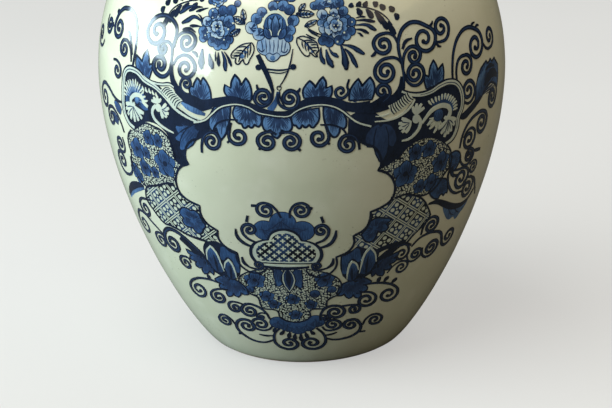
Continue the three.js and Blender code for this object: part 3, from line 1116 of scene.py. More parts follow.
def paint_garland():
    pen = Pen("garland")
    for root, outline in GARLAND_LEAVES:
        pen.cut_leaf("wash", root, outline)
    branch = [
        (-44.5, 171.5), (-36, 172.4), (-28.5, 174.4), (-21.5, 175.6), (-15.5, 174.4), (-10.8, 172.6),
        (-5, 170.7), (0.6, 170), (6.6, 170.5), (10, 173), (14, 175.2), (20.8, 176.2), (28.5, 174.6),
        (36, 171.6), (46, 171.6),
    ]
    pen.dark(branch, (4.6, 4.2, 3.4, 2.4, 1.9, 1.8, 2.6, 3.4, 4.4, 4.8))
    pen.dark([(-54, 176.4), (-48, 171.6), (-41, 170), (-33, 171.4)], (2.2, 4.2, 4, 2.2))
    pen.dark([(34, 170.8), (42, 170.2), (49, 172), (55, 176.6)], (2.2, 3.8, 4, 2.6))
    under = [
        (-43.5, 162), (-37, 164.2), (-33, 167.7), (-28.8, 171.2), (-23.8, 173), (-19.2, 173.4),
        (-13.8, 172.3), (-9.2, 169.8), (-4.6, 168.9), (1.5, 168.2), (6.2, 168.5), (9.2, 170.6), (13.8, 172.7),
        (20, 173.8), (26.2, 172.9), (31.5, 170.4), (35.4, 166.8), (39.2, 163.8), (46.5, 161),
    ]
    pen.dark(under, (1.4, 2.2, 2, 2, 2.2, 1.6), 20)
    pen.bare(under, (0.8, 0.6, 0.45, 0.5, 0.6, 0.9))
    pen.curl([(35.4, 185.4), (34.4, 182)], (31.2, 179.6), -1.3, 1.7)
    pen.curl([(-1.6, 181), (-3, 175.6), (-7, 173.2), (-10.4, 175.4)], (-6.4, 177.4), -1.4)
    pen.curl([(0.8, 179.4), (1.4, 174.6), (4.4, 172.2), (9, 172.8), (10.6, 176)], (6.4, 177.2), 1.3)
    pen.line([(-9.6, 183.6), (-8.8, 181.4), (-7, 181)], 1.6)
    pen.line([(11.6, 182.2), (10.4, 180.4), (8.6, 180)], 1.6)
    pen.finish()


# The cartouche, bare in its middle, and the basket that stands on its lower edge.

CARTOUCHE_MIDDLE = 0.8
CARTOUCHE_SIDE = [
    cusp(21, 164.6), (27, 164.2), (32.4, 161.4), cusp(34.4, 157.4), (39, 155.6), cusp(43.4, 153), (47.6, 151),
    (50.9, 146.4), (51.5, 140.8), cusp(50, 138), (54.6, 136), (58.2, 131.2), (59, 125.6), (57, 120),
    (52, 116.6), cusp(45.6, 114.6), (45.2, 110), (42.4, 104.6), cusp(36.2, 100.8), (36.2, 96), (32.8, 91),
    cusp(26.6, 88), (26.6, 83), (24, 78.4), (19, 75.4), (13.6, 76.4), cusp(10.4, 80.4),
]


def cartouche_edge(side, low, high):
    """The outline between two heights, its right half a little lower than the left."""
    return [
        (CARTOUCHE_MIDDLE + side * (x - CARTOUCHE_MIDDLE), arc - side, *kind)
        for x, arc, *kind in CARTOUCHE_SIDE
        if low <= arc <= high
    ]


def paint_cartouche():
    pen = Pen("cartouche")
    for side in (-1, 1):
        pen.dark(cartouche_edge(side, 0, 300), (0.8, 1.3, 1.4, 1.3, 1.3, 1.2, 0.9))
    pen.curl([(23.5, 163.8), (24.6, 160)], (20.2, 157.2), -1.35)
    pen.line([(23.6, 155), (25.6, 153.4)], 1.4)
    pen.curl([(-23.2, 164.2), (-24.2, 160)], (-19.6, 157.4), 1.35)
    pen.line([(-23.4, 155.4), (-25.4, 153.4)], 1.4)
    pen.curl([(-0.4, 159), (-2.6, 160.2), (-6, 160), (-9.4, 157.4)], (-5.2, 155.2), 1.35)
    pen.line([(-8.2, 152.4), (-9.4, 150.8)], 1.6)
    pen.curl([(0.8, 159.4), (3.4, 160.2), (7, 160), (10.6, 157.4)], (6.4, 155.2), -1.35)
    pen.line([(9.4, 152.4), (11.2, 150.6)], 1.6)
    pen.curl([(40.4, 149.4), (39.8, 153.4), (37.4, 156.8), (33.2, 157.4)], (34.6, 152.7), 1.35)
    pen.curl([(-39.8, 146.6), (-39.4, 151.4), (-37.4, 156.4), (-32.6, 158.2)], (-34, 153.4), -1.35)
    pen.finish()


def paint_basket():
    pen = Pen("basket")
    pen.bloom("deep", (0.6, 109.6), 6.6)
    pen.bloom("deep", (-8.8, 104.8), 5.8, 0, 330)
    pen.bloom("deep", (10.4, 104.8), 5.8, 0, 210)
    rim = [
        cusp(-15.6, 83.4), (-18, 89), (-16.4, 95.4), (-12, 98.4), cusp(-8, 99.4), (-6, 103.6), (-2, 106),
        (1, 106.4), (4.2, 105.8), (8, 103.2), cusp(10, 99.2), (14, 98.2), (18.4, 95), (20.2, 89.4),
        cusp(17.8, 83.4),
    ]
    for paint, share, level in (("line", 1, 16), ("reserve", 0.9, 17), ("lattice", 0.8, 18)):
        pen.shape(paint, grown(rim, (1.1, 92), share), level)
    pen.dark([(-11.6, 81.4), (0, 80.8), (12.6, 81.4)], 2.8)
    pen.bare([(-10.6, 82.6), (0, 82.2), (11.6, 82.6)], (0.9, 1.1, 0.9))
    pen.curl([(0, 112.8), (-2.4, 117.6), (-6.4, 121.2), (-11, 120.4)], (-7.8, 117.2), 1.4, 1.9)
    pen.line([(-11.6, 119.4), (-15, 119.4)], 1.8)
    pen.curl([(4.4, 112.8), (5, 117.6), (8.6, 121.4), (13, 120.4)], (10, 117.2), -1.4, 1.9)
    pen.line([(12.6, 119.6), (15.8, 118.2)], 1.8)
    for side, x in ((-1, -17.4), (1, 20.2)):

        def beside(*points):
            return [(x + side * out, arc) for out, arc in points]

        pen.curl(beside((-3.6, 96.8), (1.2, 99.4), (3.4, 104)), *beside((-0.6, 104.6)), side * 1.25, 2.1)
        pen.line(beside((0.8, 109.4), (-0.2, 113.2)), 1.7)
        pen.line(beside((-2, 93.6), (3.4, 96), (6.4, 100), (7, 104.4)), 2)
        pen.line(beside((4.9, 86.6), (4.1, 82.8), (1.1, 80)), 2)
        pen.curl(beside((1.1, 80), (-1.6, 79.2), (-3.6, 79.1)), *beside((-3.6, 81.9)), side * -1.3, 1.7)
    pen.finish()


def paint_pendant():
    """The drop and the net below the basket, and the crescent that ends the ornament."""
    pen = Pen("pendant")
    net = [
        cusp(-9, 80), (-16, 78), (-22, 75), (-25.4, 71), (-24, 65.6), (-20, 61), (-16, 58.5), (-13.8, 50.8),
        (-6.2, 49.2), (-4.6, 43.8), (3.8, 40.8), (10.8, 44.6), (11.5, 50), (19.2, 51.5), (20.8, 57),
        (27, 61.5), (28.5, 66.4), (27.7, 71), (24, 75), (18, 78), cusp(11, 80),
    ]
    pen.shape("net", net)
    pen.dark(net, (0.7, 1, 0.9, 1, 0.7))
    for x, arc, radius in (
        (-16.5, 71.2, 4.8), (20, 72, 4.4), (-10.8, 60, 3.4), (2.7, 58.5, 3.2), (14.4, 62.4, 2.5),
        (-7.3, 54.2, 2.8), (12, 54.4, 2.8), (3.5, 46.5, 3), (-19.6, 64.4, 2.2), (23.4, 64.8, 2.2),
    ):
        if radius > 2.6:
            pen.blossom((x, arc), radius * 1.1)
        else:
            pen.bloom("deep", (x, arc), radius)
    pen.lobe("deep", (-4.4, 79.6), (-4.6, 67.6), 4.6, 1, 0.1)
    pen.lobe("deep", (7, 79.6), (7.6, 66.8), 4.6, 1, -0.1)
    for paint, end, width, level in (
        ("line", 63.4, 8.2, 14), ("reserve", 64.2, 6.6, 15), ("streak", 65, 5.4, 16), ("line", 67, 2.8, 17),
    ):
        pen.stroke(paint, bowed((1.4, 80), (1.4, end)), widths(width, (0.25, 0.85, 1, 0.7, 0.06)), level)
    for x, arc, radius in (
        (-6.2, 39.6, 4.6), (13.8, 41, 4.6), (-1.2, 37, 4.4), (8.8, 37.6, 4.4), (3.8, 35.4, 4.6),
    ):
        pen.bloom("deep", (x, arc), radius, 1)
    pen.dashes(
        2.1,
        (-8, 35.6, -9.4, 31.6), (-3.4, 33.6, -6, 29.4), (-0.6, 32.4, -1.8, 27), (2.2, 31, 1.6, 25.6),
        (5, 31, 5.2, 24), (7.6, 32, 8.6, 27), (10.4, 33.4, 12, 29.6),
    )
    left = [(-6, 35), (-8.6, 31), (-9.6, 26), (-8.6, 20.6), (-5, 17), (-1.2, 16.6), (2, 19.4)]
    right = [(13.6, 35.4), (16.6, 31), (17.8, 26), (16.8, 20.6), (13.2, 17), (9, 16.8), (6, 19.6)]
    pen.curl(left, (-1.8, 22.2), 1.2)
    pen.curl(right, (10.2, 22.4), -1.2)
    pen.finish()


def paint_foot_scrolls():
    """The scrolls at both sides of the crescent, and the dark leaves above them."""
    pen = Pen("foot_scrolls")
    pen.curl([(-10.4, 42), (-12.6, 47.4), (-17, 51.8), (-22.6, 52.6), (-25.6, 49.4)], (-21.4, 47.2), 1.4, 2.1)
    pen.curl([(-24.6, 51.6), (-28.4, 52.6), (-32.8, 51.4), (-33.4, 47.6)], (-29.8, 48), 1.2, 2)
    pen.curl([(-12.4, 46.2), (-15, 46.6), (-17.2, 44.6)], (-15.4, 43.4), 1.1, 1.6)
    pen.curl([(-9.6, 36.6), (-12, 33.4), (-17, 32.4), (-20.8, 35.6)], (-16.2, 37.4), -1.35, 2)
    pen.line([(-17.8, 28.2), (-14, 27.6), (-9.8, 28.4)], 1.6)
    pen.curl(
        [(-9.8, 24.6), (-15, 21.4), (-21, 21.4), (-27, 25), (-30.6, 30), (-30.6, 35), (-27.6, 38.6)],
        (-24.4, 34.2), -1.4,
    )
    pen.line([(-30.6, 25.4), (-27.8, 26.2)], 1.6)
    pen.curl([(-31.4, 33.2), (-34.4, 37.8), (-39, 39.6), (-42, 36.4)], (-37.8, 35), 1.3, 2)
    pen.curl([(-33.8, 64), (-40, 65.8), (-47, 66), (-53.6, 64), (-59, 58.6)], (-53, 55.6), 1.5, 2.1)
    pen.curl([(-31.6, 61.4), (-37.6, 60.6), (-43.4, 57.4)], (-39.4, 54), 1.5, 2.1)
    pen.curl([(16.2, 41.4), (16.6, 46.6), (20, 51.6), (25, 52.4), (28.8, 49.4)], (24.2, 47.2), -1.4, 2.1)
    pen.curl([(26.4, 51.4), (29.6, 51.6), (33.4, 51.6), (37.4, 50.2)], (34.4, 48), -1.2, 2)
    pen.curl([(16.4, 45.6), (18.8, 45.6), (20.8, 44.6)], (19.2, 43.2), -1.1, 1.6)
    pen.curl([(16.6, 36.4), (18.6, 33.2), (23, 32.8), (26.4, 35.4)], (22.4, 37.4), 1.35, 2)
    pen.line([(17, 28.8), (21, 29), (24.4, 30.4)], 1.6)
    pen.curl([(17.8, 26.4), (22, 24.2), (27.6, 24), (33.6, 26), (37.6, 31), (36.8, 37)], (32.2, 35.4), 1.4)
    pen.line([(35.8, 28.2), (40.4, 27.4)], 1.6)
    pen.curl([(39, 33.6), (41.4, 38.4), (46, 40.6), (50.4, 38.2)], (46.4, 35.8), -1.3, 2)
    pen.curl([(36, 60), (41, 60.2), (46.2, 57.6)], (41.6, 53.8), -1.45, 2.1)
    pen.curl([(34, 64.6), (44, 65.6), (53, 63.8), (59.4, 59.6)], (55, 54.6), -1.45, 2.1)
    pen.dashes(
        2.1,
        (48, 64.6, 50.4, 69), (52, 64.2, 55.4, 68.4), (56.4, 62.4, 60.4, 65.8), (-43, 65.8, -44.6, 69.6),
    )
    for side in (-1, 1):
        paint_dark_leaves(pen, side)
    pen.finish()


def paint_dark_leaves(pen, side):
    """Two pointed leaves in white edges, and lobed ones under their stem, farther out on the right."""
    shift = 5 if side > 0 else 0

    def there(*points):
        return [(side * x + shift, arc, *kind) for x, arc, *kind in points]

    pen.shape("ground", there(
        cusp(24, 88.6), (29.2, 90.2), (34.6, 94), (39.4, 94.8), (43.2, 92.4), (44.8, 86), (42, 80), (38, 75),
        (33, 71), (28.4, 69.6), cusp(24.4, 73.6), (23.4, 80),
    ))
    pen.shape("deep", there(
        cusp(24.8, 87.2), (29, 88.8), (33, 91.6), (34.4, 88), (33.4, 82.4), (31, 84.8), (29, 84.4), (27, 80),
        (25.4, 75), (24.4, 80),
    ), 6)
    stem = there((60, 91.5), (55, 88.4), (50, 85), (44.6, 80.2), (39.2, 76), (34.6, 73), (30, 69.6))
    pen.dark(stem, (2.6, 4.2, 5.4, 5.4, 4))
    outer = there(
        cusp(45, 82), (50, 83), cusp(56.8, 84.8), (55.6, 82), cusp(53, 81), (54.6, 80.4), cusp(55, 78.8),
        (52.6, 77.6), cusp(50.4, 77.4), (51.6, 76), cusp(51.4, 74.2), (49, 73.4), cusp(47.2, 74.2),
        (47.6, 72), cusp(46.4, 69.6), (43.6, 71), cusp(42.6, 72.8), (41.6, 71.6), cusp(40.2, 70.6),
        cusp(39.6, 74.6),
    )
    pen.cut_leaf("deep", *there((43.4, 77.4)), outer, 0.8, 19)
    lower = there(
        cusp(33.4, 72.2), (37, 70.2), cusp(40, 67.6), (38.4, 65.6), cusp(36.4, 65.4), (37.6, 63.4),
        cusp(37.2, 61.4), (35, 60.6), cusp(33.2, 61.6), (33.8, 58.6), cusp(32.8, 56.2), (30.6, 57.2),
        cusp(29.6, 59.6), (28.6, 57.8), cusp(27, 57), (25.4, 58.6), cusp(25, 60.8), (23.4, 59.6),
        cusp(20.6, 60), (21.6, 64), cusp(24.6, 68.4),
    )
    pen.cut_leaf("deep", *there((29.4, 69)), lower, 0.8, 19)
    for root, edge, foot in (
        (
            (37, 74), ((42.9, 81), (42.4, 87.2), cusp(39.8, 91), (37, 87.4), (34.6, 80), (33.4, 74.6)),
            (38, 73.8),
        ),
        (
            (29.4, 70.6), ((33, 77), (31.9, 81.4), cusp(29.8, 83.4), (28.2, 80.4), (27, 75), (26.6, 71)),
            (30, 70),
        ),
    ):
        pen.cut_leaf("deep", *there(root), there(*edge, foot), 0.6, 23)
        pen.bare(there(*edge), (0.5, 1.1, 1.2, 0.9, 0.4), 26)
        pen.dark(there(*bowed(root, edge[2][:2], 0.02, 3))[:-1], (1, 1.6, 0.4), 25)


# The right side.

SIDE_MERIDIAN = 40


def paint_right_side():
    pen = Pen("right_side", SIDE_MERIDIAN)
    paint_side_grounds(pen)
    paint_upper_scrolls(pen)
    paint_volute(pen)
    paint_shells(pen)
    paint_net_flowers(pen)
    paint_second_arch(pen)
    paint_lower_scrolls(pen)
    paint_foot_arches(pen)
    pen.finish()


def cartouche_on_side(pen, low, high):
    """The cartouche's outline as a side's pen sees it, from the top down."""
    seen = []
    for x, arc, *kind in cartouche_edge(pen.side, low, high):
        shift = math.radians(SIDE_MERIDIAN) * float(wall_radius(arc))
        seen.append((pen.side * x - shift, arc, *kind))
    return seen


def paint_side_grounds(pen):
    upper = [
        (-33, 170), (-20, 163), (-13, 166), (-7, 171), (-3, 173), (4, 173.5), (14, 176), (22, 173.5),
        (25, 167), (24.5, 160), (21.5, 155), (21, 149), (16, 144.5), (10, 147), (3, 150.5), (-6, 149),
        (-13, 144), (-18, 137), cusp(-24, 136),
    ]
    pen.shape("ground", [*upper, *cartouche_on_side(pen, 136, 160)[::-1], cusp(-42, 167)])
    net = [
        (-15, 142), (-9, 148), (-1, 150.5), (7, 149.3), (14, 145), (19.5, 139), (20.5, 132), (16, 126),
        (11, 120), (5, 117.5), (-1, 118.5), (-7, 120.5), cusp(-14, 119.5),
    ]
    pen.shape("net", [*cartouche_on_side(pen, 119, 139)[::-1], *net])
    pen.dark(net, BORDER)
    trellis = [
        cusp(-14.5, 121), (-8, 120.8), (-1, 118.5), (4, 115), (9, 109), cusp(12, 103.5), (8, 98), (3, 93.5),
        (-1.5, 88.8), (-9, 88.5), (-17, 89), (-22, 90), cusp(-28, 92),
    ]
    pen.shape("trellis", [*trellis, *cartouche_on_side(pen, 92, 120)[::-1]])
    pen.dark(trellis[1:-2], BORDER)
    pen.cut_leaf("deep", (-22.4, 102.4), [
        (-25.8, 107.8), (-22.6, 109.2), (-18, 108.5), cusp(-14.4, 107.8), (-13.7, 106.4), cusp(-16.2, 104.9),
        (-14.6, 102.8), (-15.1, 100.6), (-17.6, 99.9), cusp(-20.1, 100.3), (-20.4, 97.6), (-21.9, 95),
        (-24.4, 94.8), (-26.6, 96.2), cusp(-29, 100.3), (-26.9, 103.9), (-26.5, 106),
    ], 0.9, 8)
    pen.cut_leaf("deep", (14.6, 121), [
        cusp(11.3, 125.4), (16, 124.6), (19.5, 122.8), (20.9, 118.4), cusp(21.7, 114.4), (20.2, 115),
        cusp(18.8, 113.6), (17.2, 115), cusp(14.9, 112.6), (12.2, 113.6), (9.5, 115.8), cusp(7.4, 118.9),
        (9, 121), (10.6, 122.8),
    ], 0.9, 11)
    pen.cut_leaf("deep", (22.6, 132.6), [
        cusp(19, 137.4), (23, 138.4), (26.8, 136.6), cusp(28.4, 133.4), (27, 129.4), cusp(24.9, 127.2),
        (22.8, 127.4), (20.4, 129.2), (19.2, 132.6),
    ], 0.9, 11)
    pen.line([(21.7, 129.4), (22.6, 126), (24.4, 124), (27.6, 123)], (3, 2.4, 1.6))
    # This leaf is filled in the darker streak blue as painted shade, where the light falls off on this side;
    # its twin on the left side is in deep blue.
    pen.leaf("streak", (-25, 160), ((-31, 150), (-24, 141.6), (-18.4, 149)), 7)


def paint_upper_scrolls(pen):
    pen.curl(
        [
            (-16.5, 173.5), (-12.3, 181), (-12, 189), (-13, 198), (-11, 204.2), (-7.3, 208), (-1.9, 209.2),
            (5, 206.5), (9.6, 202.5),
        ],
        (2.7, 200.2), -1.4, 2.2,
    )
    pen.curl([(9.6, 197.5), (13, 197.2), (17, 198), (19.6, 201.5)], (14.6, 204), 1.3)
    pen.line([(6.5, 206), (8.6, 206.6), (9.8, 208.2)], 1.5)
    pen.line([(9.5, 197.5), (11, 195.6), (12.8, 194.8)], 1.5)
    pen.curl([(-12.6, 199), (-15, 204.5), (-19.6, 205.8), (-25.4, 202.5)], (-20.8, 200.4), 1.35)
    pen.line([(-25, 198), (-26.4, 196.2), (-28.3, 195.4)], 1.8)
    stem = [(-12.2, 189.5), (-14.5, 192.8), (-19.5, 193.8), (-24.5, 192), (-27.2, 188)]
    pen.curl(stem, (-21.5, 187.3), 1.5)
    pen.curl([(-29.5, 172), (-24, 172.6), (-20.4, 175.4)], (-24, 177.8), 1.2)
    pen.line([(-24.6, 183), (-22, 181.4), (-20.2, 178.6)], 1.5)
    pen.line([(-11, 197), (-8.5, 200.5), (-4.6, 201.7)], (1.4, 2, 1.9, 0.8))
    pen.curl([(-12, 186), (-11.3, 191.5), (-9.5, 195.5), (-5.5, 197.6)], (-5, 193), -1.4)
    pen.curl([(-11.6, 186), (-10, 181), (-5, 178.4), (-0.8, 181)], (-5.4, 184.2), 1.6)
    pen.cut_leaf("wash", (6, 174.6), [
        cusp(1, 175.6), (0, 179), cusp(-0.8, 182.6), (2, 182), cusp(3, 181.4), (4, 185.6), cusp(6.6, 189.2),
        (8.4, 186), cusp(8.8, 183.8), (10.4, 185), cusp(12.6, 186.2), (12.9, 181.6), cusp(11.8, 176.4),
    ])


def paint_volute(pen):
    band = [
        (-13.5, 176.5), (-9.5, 174.6), (-3, 173.2), (4, 173.8), (10.4, 175.8), (17, 176.2), (22.5, 173.8),
        (25.6, 168.5), (25.6, 162), (22.8, 156.5), (22.2, 151), (19.5, 146.5), (15, 144.5),
    ]
    pen.dark(band, (2.6, 3.8, 4.2, 4.2, 4, 3.2))
    pen.bare(band, (0.9, 1.7, 2.2, 2.3, 2.2, 1.3))
    pen.stroke("streak", band[2:-2], (0.3, 0.5, 0.5, 0.4), 23)
    trunk = [(-12.5, 184), (-14, 177.6), (-18.4, 172.8), (-26, 170.4), (-33, 170)]
    pen.dark(trunk, (2.4, 4.2, 5.4, 5.4, 4.4))
    field = [
        cusp(-21.4, 170.4), (-17, 171.8), (-13.4, 173.6), cusp(-10.6, 176), (-8.6, 174.2), cusp(-7.2, 171.6),
        (-12, 168.4), cusp(-19, 165.8),
    ]
    pen.shape("reserve", field, 20.4)
    for index in range(9):
        part = index / 8
        upper = (-20 + 9.2 * part, 171.4 + 4.6 * part)
        lower = (-18 + 10.6 * part, 165.8 + 5.6 * part)
        pen.dark(bowed(lower, upper, 0.12, 3), (0.5, 0.7, 0.7, 0.5), 23)
    ladder = [(-6.2, 171.5), (-8.5, 168.4), (-13, 165.2), (-20, 163.2), (-28.5, 163.2)]
    pen.bare(ladder, (0.8, 1.2, 1, 0.5))
    pen.bare([(-28, 165.8), (-24, 165.6), (-20.6, 166.4)], (0.4, 0.7, 0.5))


def paint_shells(pen):
    """The big shell under the volute's arch, and the small one beside it."""
    crown = [
        (1.9, 169.6), (4, 170.2), (6.4, 170.6), (8.8, 170.9), (11.2, 171.3), (13.5, 171.2), (15.6, 170.5),
        (17.4, 169.5), (19, 168.5), (20.4, 167.2), (21.4, 165.6), (22, 163.8), (22, 161.9),
    ]
    inset = grown(crown, (9.6, 160.4), 0.74)
    pen.stroke("deep", inset, (2.6, 4.2, 4.2, 2.6), 12)
    for outer, inner in zip(crown, inset):
        pen.bare(bowed(inner, outer, 0.06, 2), (0.5, 1.2, 0.8))
    rim = [
        (-1.9, 158.6), (1.2, 161.9), (4.2, 164.2), (8.8, 165.4), (13.5, 165), (16.2, 162.7), (16.2, 159.6),
        (14.2, 158.1), (12.7, 159.2),
    ]
    pen.bare(rim, (1.3, 2.3, 2.5, 2.4, 1.5))
    pen.disc("deep", (8.6, 160.8), 3.1, 17)
    pen.fan("streak", (8.6, 158.4), (50, 130), (1, 4.6), 5, 0.6, 18)
    pen.fan("reserve", (8.6, 160.8), (188, 292), (3.3, 6.4), 11, 0.75)
    tips = ((8.8, 153.5), (11, 150.5), (13.5, 148.2), (16, 149.2), (18.1, 150.4), (20.4, 153.2), (21.2, 156))
    pen.rays("reserve", (15.4, 158), tips, 2)
    shades = ((11, 153), (13.4, 150.4), (15.4, 151), (17.4, 152), (19.2, 154.4))
    pen.rays("streak", (15.4, 157.2), shades, 0.7, 23)
    for root, tip in (((4.6, 159.4), (1.4, 157)), ((6.2, 157.6), (3, 154.8)), ((8.2, 156), (5.8, 152))):
        pen.bare(bowed(root, tip, 0.06, 2), (0.6, 1.6, 0.9))
    pen.disc("reserve", (-5.4, 161.5), 2.3)
    hook = [(-4.6, 162.4), (-3, 160), (-3.2, 157.2), (-5.8, 153.6), (-9.6, 151.6), (-13.5, 151.2)]
    pen.bare(hook, (1.8, 1.9, 1.5, 0.7))
    pen.rays("reserve", (-5.6, 163.4), ((-7.6, 168.2), (-5, 169.4), (-2.2, 168.8), (-0.6, 166.6)), 1.7)
    petals = ((-13.8, 163), (-15.6, 160.6), (-15.2, 158), (-13.6, 155.8), (-11.4, 155.2))
    pen.rays("reserve", (-8.4, 160.6), petals, 2)
    pen.rays("streak", (-9.4, 160.2), ((-13.8, 161.2), (-13.6, 158.6), (-12, 156.8)), 0.6, 23)


def paint_net_flowers(pen):
    for x, arc, radius in (
        (-9.6, 132.7, 6.6), (-4.6, 143.5, 4.2), (3.8, 143.8, 4.2), (12.7, 134.6, 5.4), (8, 124.2, 4.6),
        (0.4, 123.5, 3.6),
    ):
        pen.blossom((x, arc), radius)
    for x, arc in ((-2, 134), (4.4, 132), (4.6, 137.6), (14.8, 141), (-12.6, 141), (-13, 124.6), (15.6, 128)):
        pen.disc("line", (x, arc), 1)
        pen.disc("reserve", (x, arc), 0.45)


def paint_second_arch(pen):
    """Beyond the volute, towards the back."""
    arch = [(18.8, 176.8), (19.2, 184), (21.5, 192), (26.5, 198), (33.5, 200.4), (41, 198.8), (46, 195)]
    pen.curl(arch, (40, 190.5), -1.45, 2.4)
    pen.line([(37.4, 200), (39.6, 201.4), (42.2, 201.6)], 1.5)
    pen.line([(41.6, 199), (44, 199.8), (46, 199.5)], 1.5)
    pen.curl([(21.8, 176), (22, 182), (24.5, 186.5), (29, 187.6)], (29.8, 182), -1.4)
    pen.curl([(26.5, 164.5), (31.5, 162.3), (36, 165.5)], (31.2, 169), 1.5)
    pen.curl([(47.6, 190), (51, 186.6), (56, 186)], (56.4, 191.6), 1.3)
    pen.cut_leaf("deep", (41, 163.4), [
        cusp(23.2, 156.7), (28.7, 154.9), (33.2, 157.2), (38.7, 159.7), (43.2, 162.2), (47.6, 165.6),
        (51.5, 167.5), (56, 167.8), (60, 166), cusp(64.5, 162.6), (66, 168), cusp(66.4, 174.6), (63.6, 176.8),
        cusp(60.4, 179.6), (57.2, 178.6), cusp(55, 180.2), (51.6, 179), cusp(49.6, 180.4), (46, 178.9),
        (43.2, 177.2), (40.4, 173.9), (39, 170.6), (38.2, 166.1), cusp(37.2, 162.6), (33.2, 160.4),
        (28.7, 158.4),
    ], 1.1, 6)
    pen.dark([(24, 156.4), (30, 157), (37.4, 160), (43, 163.4)], (1.6, 2.8, 3.2, 1.2))
    pen.dark([(47, 168), (52, 171.4), (58, 172.4), (64, 169.6)], (2, 5.2, 5.2, 2.4), 9)
    pen.dark([(48.4, 175.6), (54, 177), (60, 175.6)], (1, 2.6, 1.2), 9)
    for index in range(5):
        root = (39.4 + 1.6 * index, 164.4 + 1.1 * index)
        tip = (41 + 2.1 * index, 173.6 + 1.2 * index)
        pen.stroke("wash", bowed(root, tip, 0.1, 3), (0.6, 1.5, 0.5), 10)
    pen.curl([(60.6, 166), (63.6, 163), (63.4, 158.4), (59.6, 154.8)], (57.4, 159.8), -1.4, 2.4)


def paint_lower_scrolls(pen):
    arch = [(26.5, 139), (28, 146), (32.5, 151.8), (39, 154.6), (46, 154.8), (51.5, 151.5)]
    pen.curl(arch, (46, 148.5), -1.5, 2.4)
    pen.curl([(29, 144), (33, 147.8), (38.5, 146.5)], (34, 142.4), -1.4)
    pen.curl([(27.5, 134.5), (29.5, 130), (35, 127.2), (40, 130)], (36.3, 132.5), 1.5)
    pen.line([(40.5, 134), (45, 133.5), (48.5, 133)], (1.6, 2.2, 2.4, 1.6))
    pen.curl([(24, 127), (28.5, 126.5), (33.5, 126.2), (38, 123.4)], (32, 120.4), -1.5)
    pen.line([(20.5, 131), (20, 124), (23, 117), (28.5, 112.5), (35, 111.5)], (1.2, 1.8, 1.9, 1.2))
    pen.curl([(38.5, 126.5), (43, 128), (46.8, 125)], (43, 124), -1.3, 1.6)
    pen.curl([(35, 117), (40.5, 118.6), (46, 115.5)], (40.8, 112), -1.5)
    pen.line([(40, 118.5), (47, 116), (51.5, 110), (56, 103)], 1.7)
    feather = [
        cusp(19, 109), (24, 100), (29, 95.5), (33, 96), (36, 93.5), (40, 96.5), (44, 99), cusp(47, 103.6),
        (38, 101.4), (28, 104),
    ]
    pen.shape("wash", feather)
    pen.stroke("streak", [(26, 103.6), (29.4, 99), (33, 97.2)], (0.6, 1, 0.4), 8)
    pen.stroke("streak", [(32, 102), (35.4, 98.6), (39, 97)], (0.6, 1, 0.4), 8)
    band = [
        (8.8, 111.3), (15, 110.8), (21, 108), (28, 104.5), (35, 102.4), (41, 102.2), (46.5, 104.2), (51, 108),
    ]
    pen.dark(band, (1.2, 3.6, 4.2, 3.2, 2.2, 1.4))
    pen.curl([(8.5, 92), (8.8, 97.5), (12.5, 101.6), (17, 101)], (14.6, 96.5), -1.4)


def paint_foot_arches(pen):
    arch = [(3.5, 85.8), (7.5, 89.8), (13, 91.4), (19, 91), (24.5, 88.5), (27, 84), (29, 79.5)]
    pen.curl(arch, (33.6, 83.5), 1.4)
    pen.curl([(12, 82.5), (14, 76.8), (19, 74.4), (24, 77.5)], (19.4, 80.4), 1.5)
    pen.curl([(2, 85), (2.5, 78.5), (6, 75.2), (11, 76.5)], (8.2, 79.6), 1.5, 1.7)
    pen.curl([(-13, 85.5), (-7, 88), (-1, 88.3), (2, 85)], (-2, 82.6), -1.3, 1.7)
    pen.curl([(-8, 71), (-5, 75.5), (0, 77.2), (3.8, 75)], (0.2, 72.8), -1.3, 1.5)
    wave = [(-24, 83), (-18, 87.5), (-10, 90), (-3, 89.8), (3, 87)]
    pen.dark(wave, (3.4, 3.2, 2.4, 1.4))


# The left side: its x runs away from the front, as on the right.

LEFT_BAND = [
    (-35, 162.7), (-28.1, 165), (-21.9, 168.1), (-17.3, 171.9), (-12.7, 175), (-8.8, 176.9), (-4.2, 178.1),
    (-0.4, 179.2), (4.2, 181.5), (8.8, 182.3), (13.1, 181.9), (16.2, 179.6), (17.7, 173.5), (18.1, 167.3),
    (18.5, 161.2), (17.3, 157.3), (14.2, 153.5), (9.6, 151.9),
]


def paint_left_side():
    pen = Pen("left_side", SIDE_MERIDIAN, -1)
    paint_left_grounds(pen)
    paint_left_scrolls(pen)
    paint_left_volute(pen)
    paint_left_shells(pen)
    paint_left_net_flowers(pen)
    paint_left_far_scrolls(pen)
    paint_left_low_scrolls(pen)
    pen.finish()


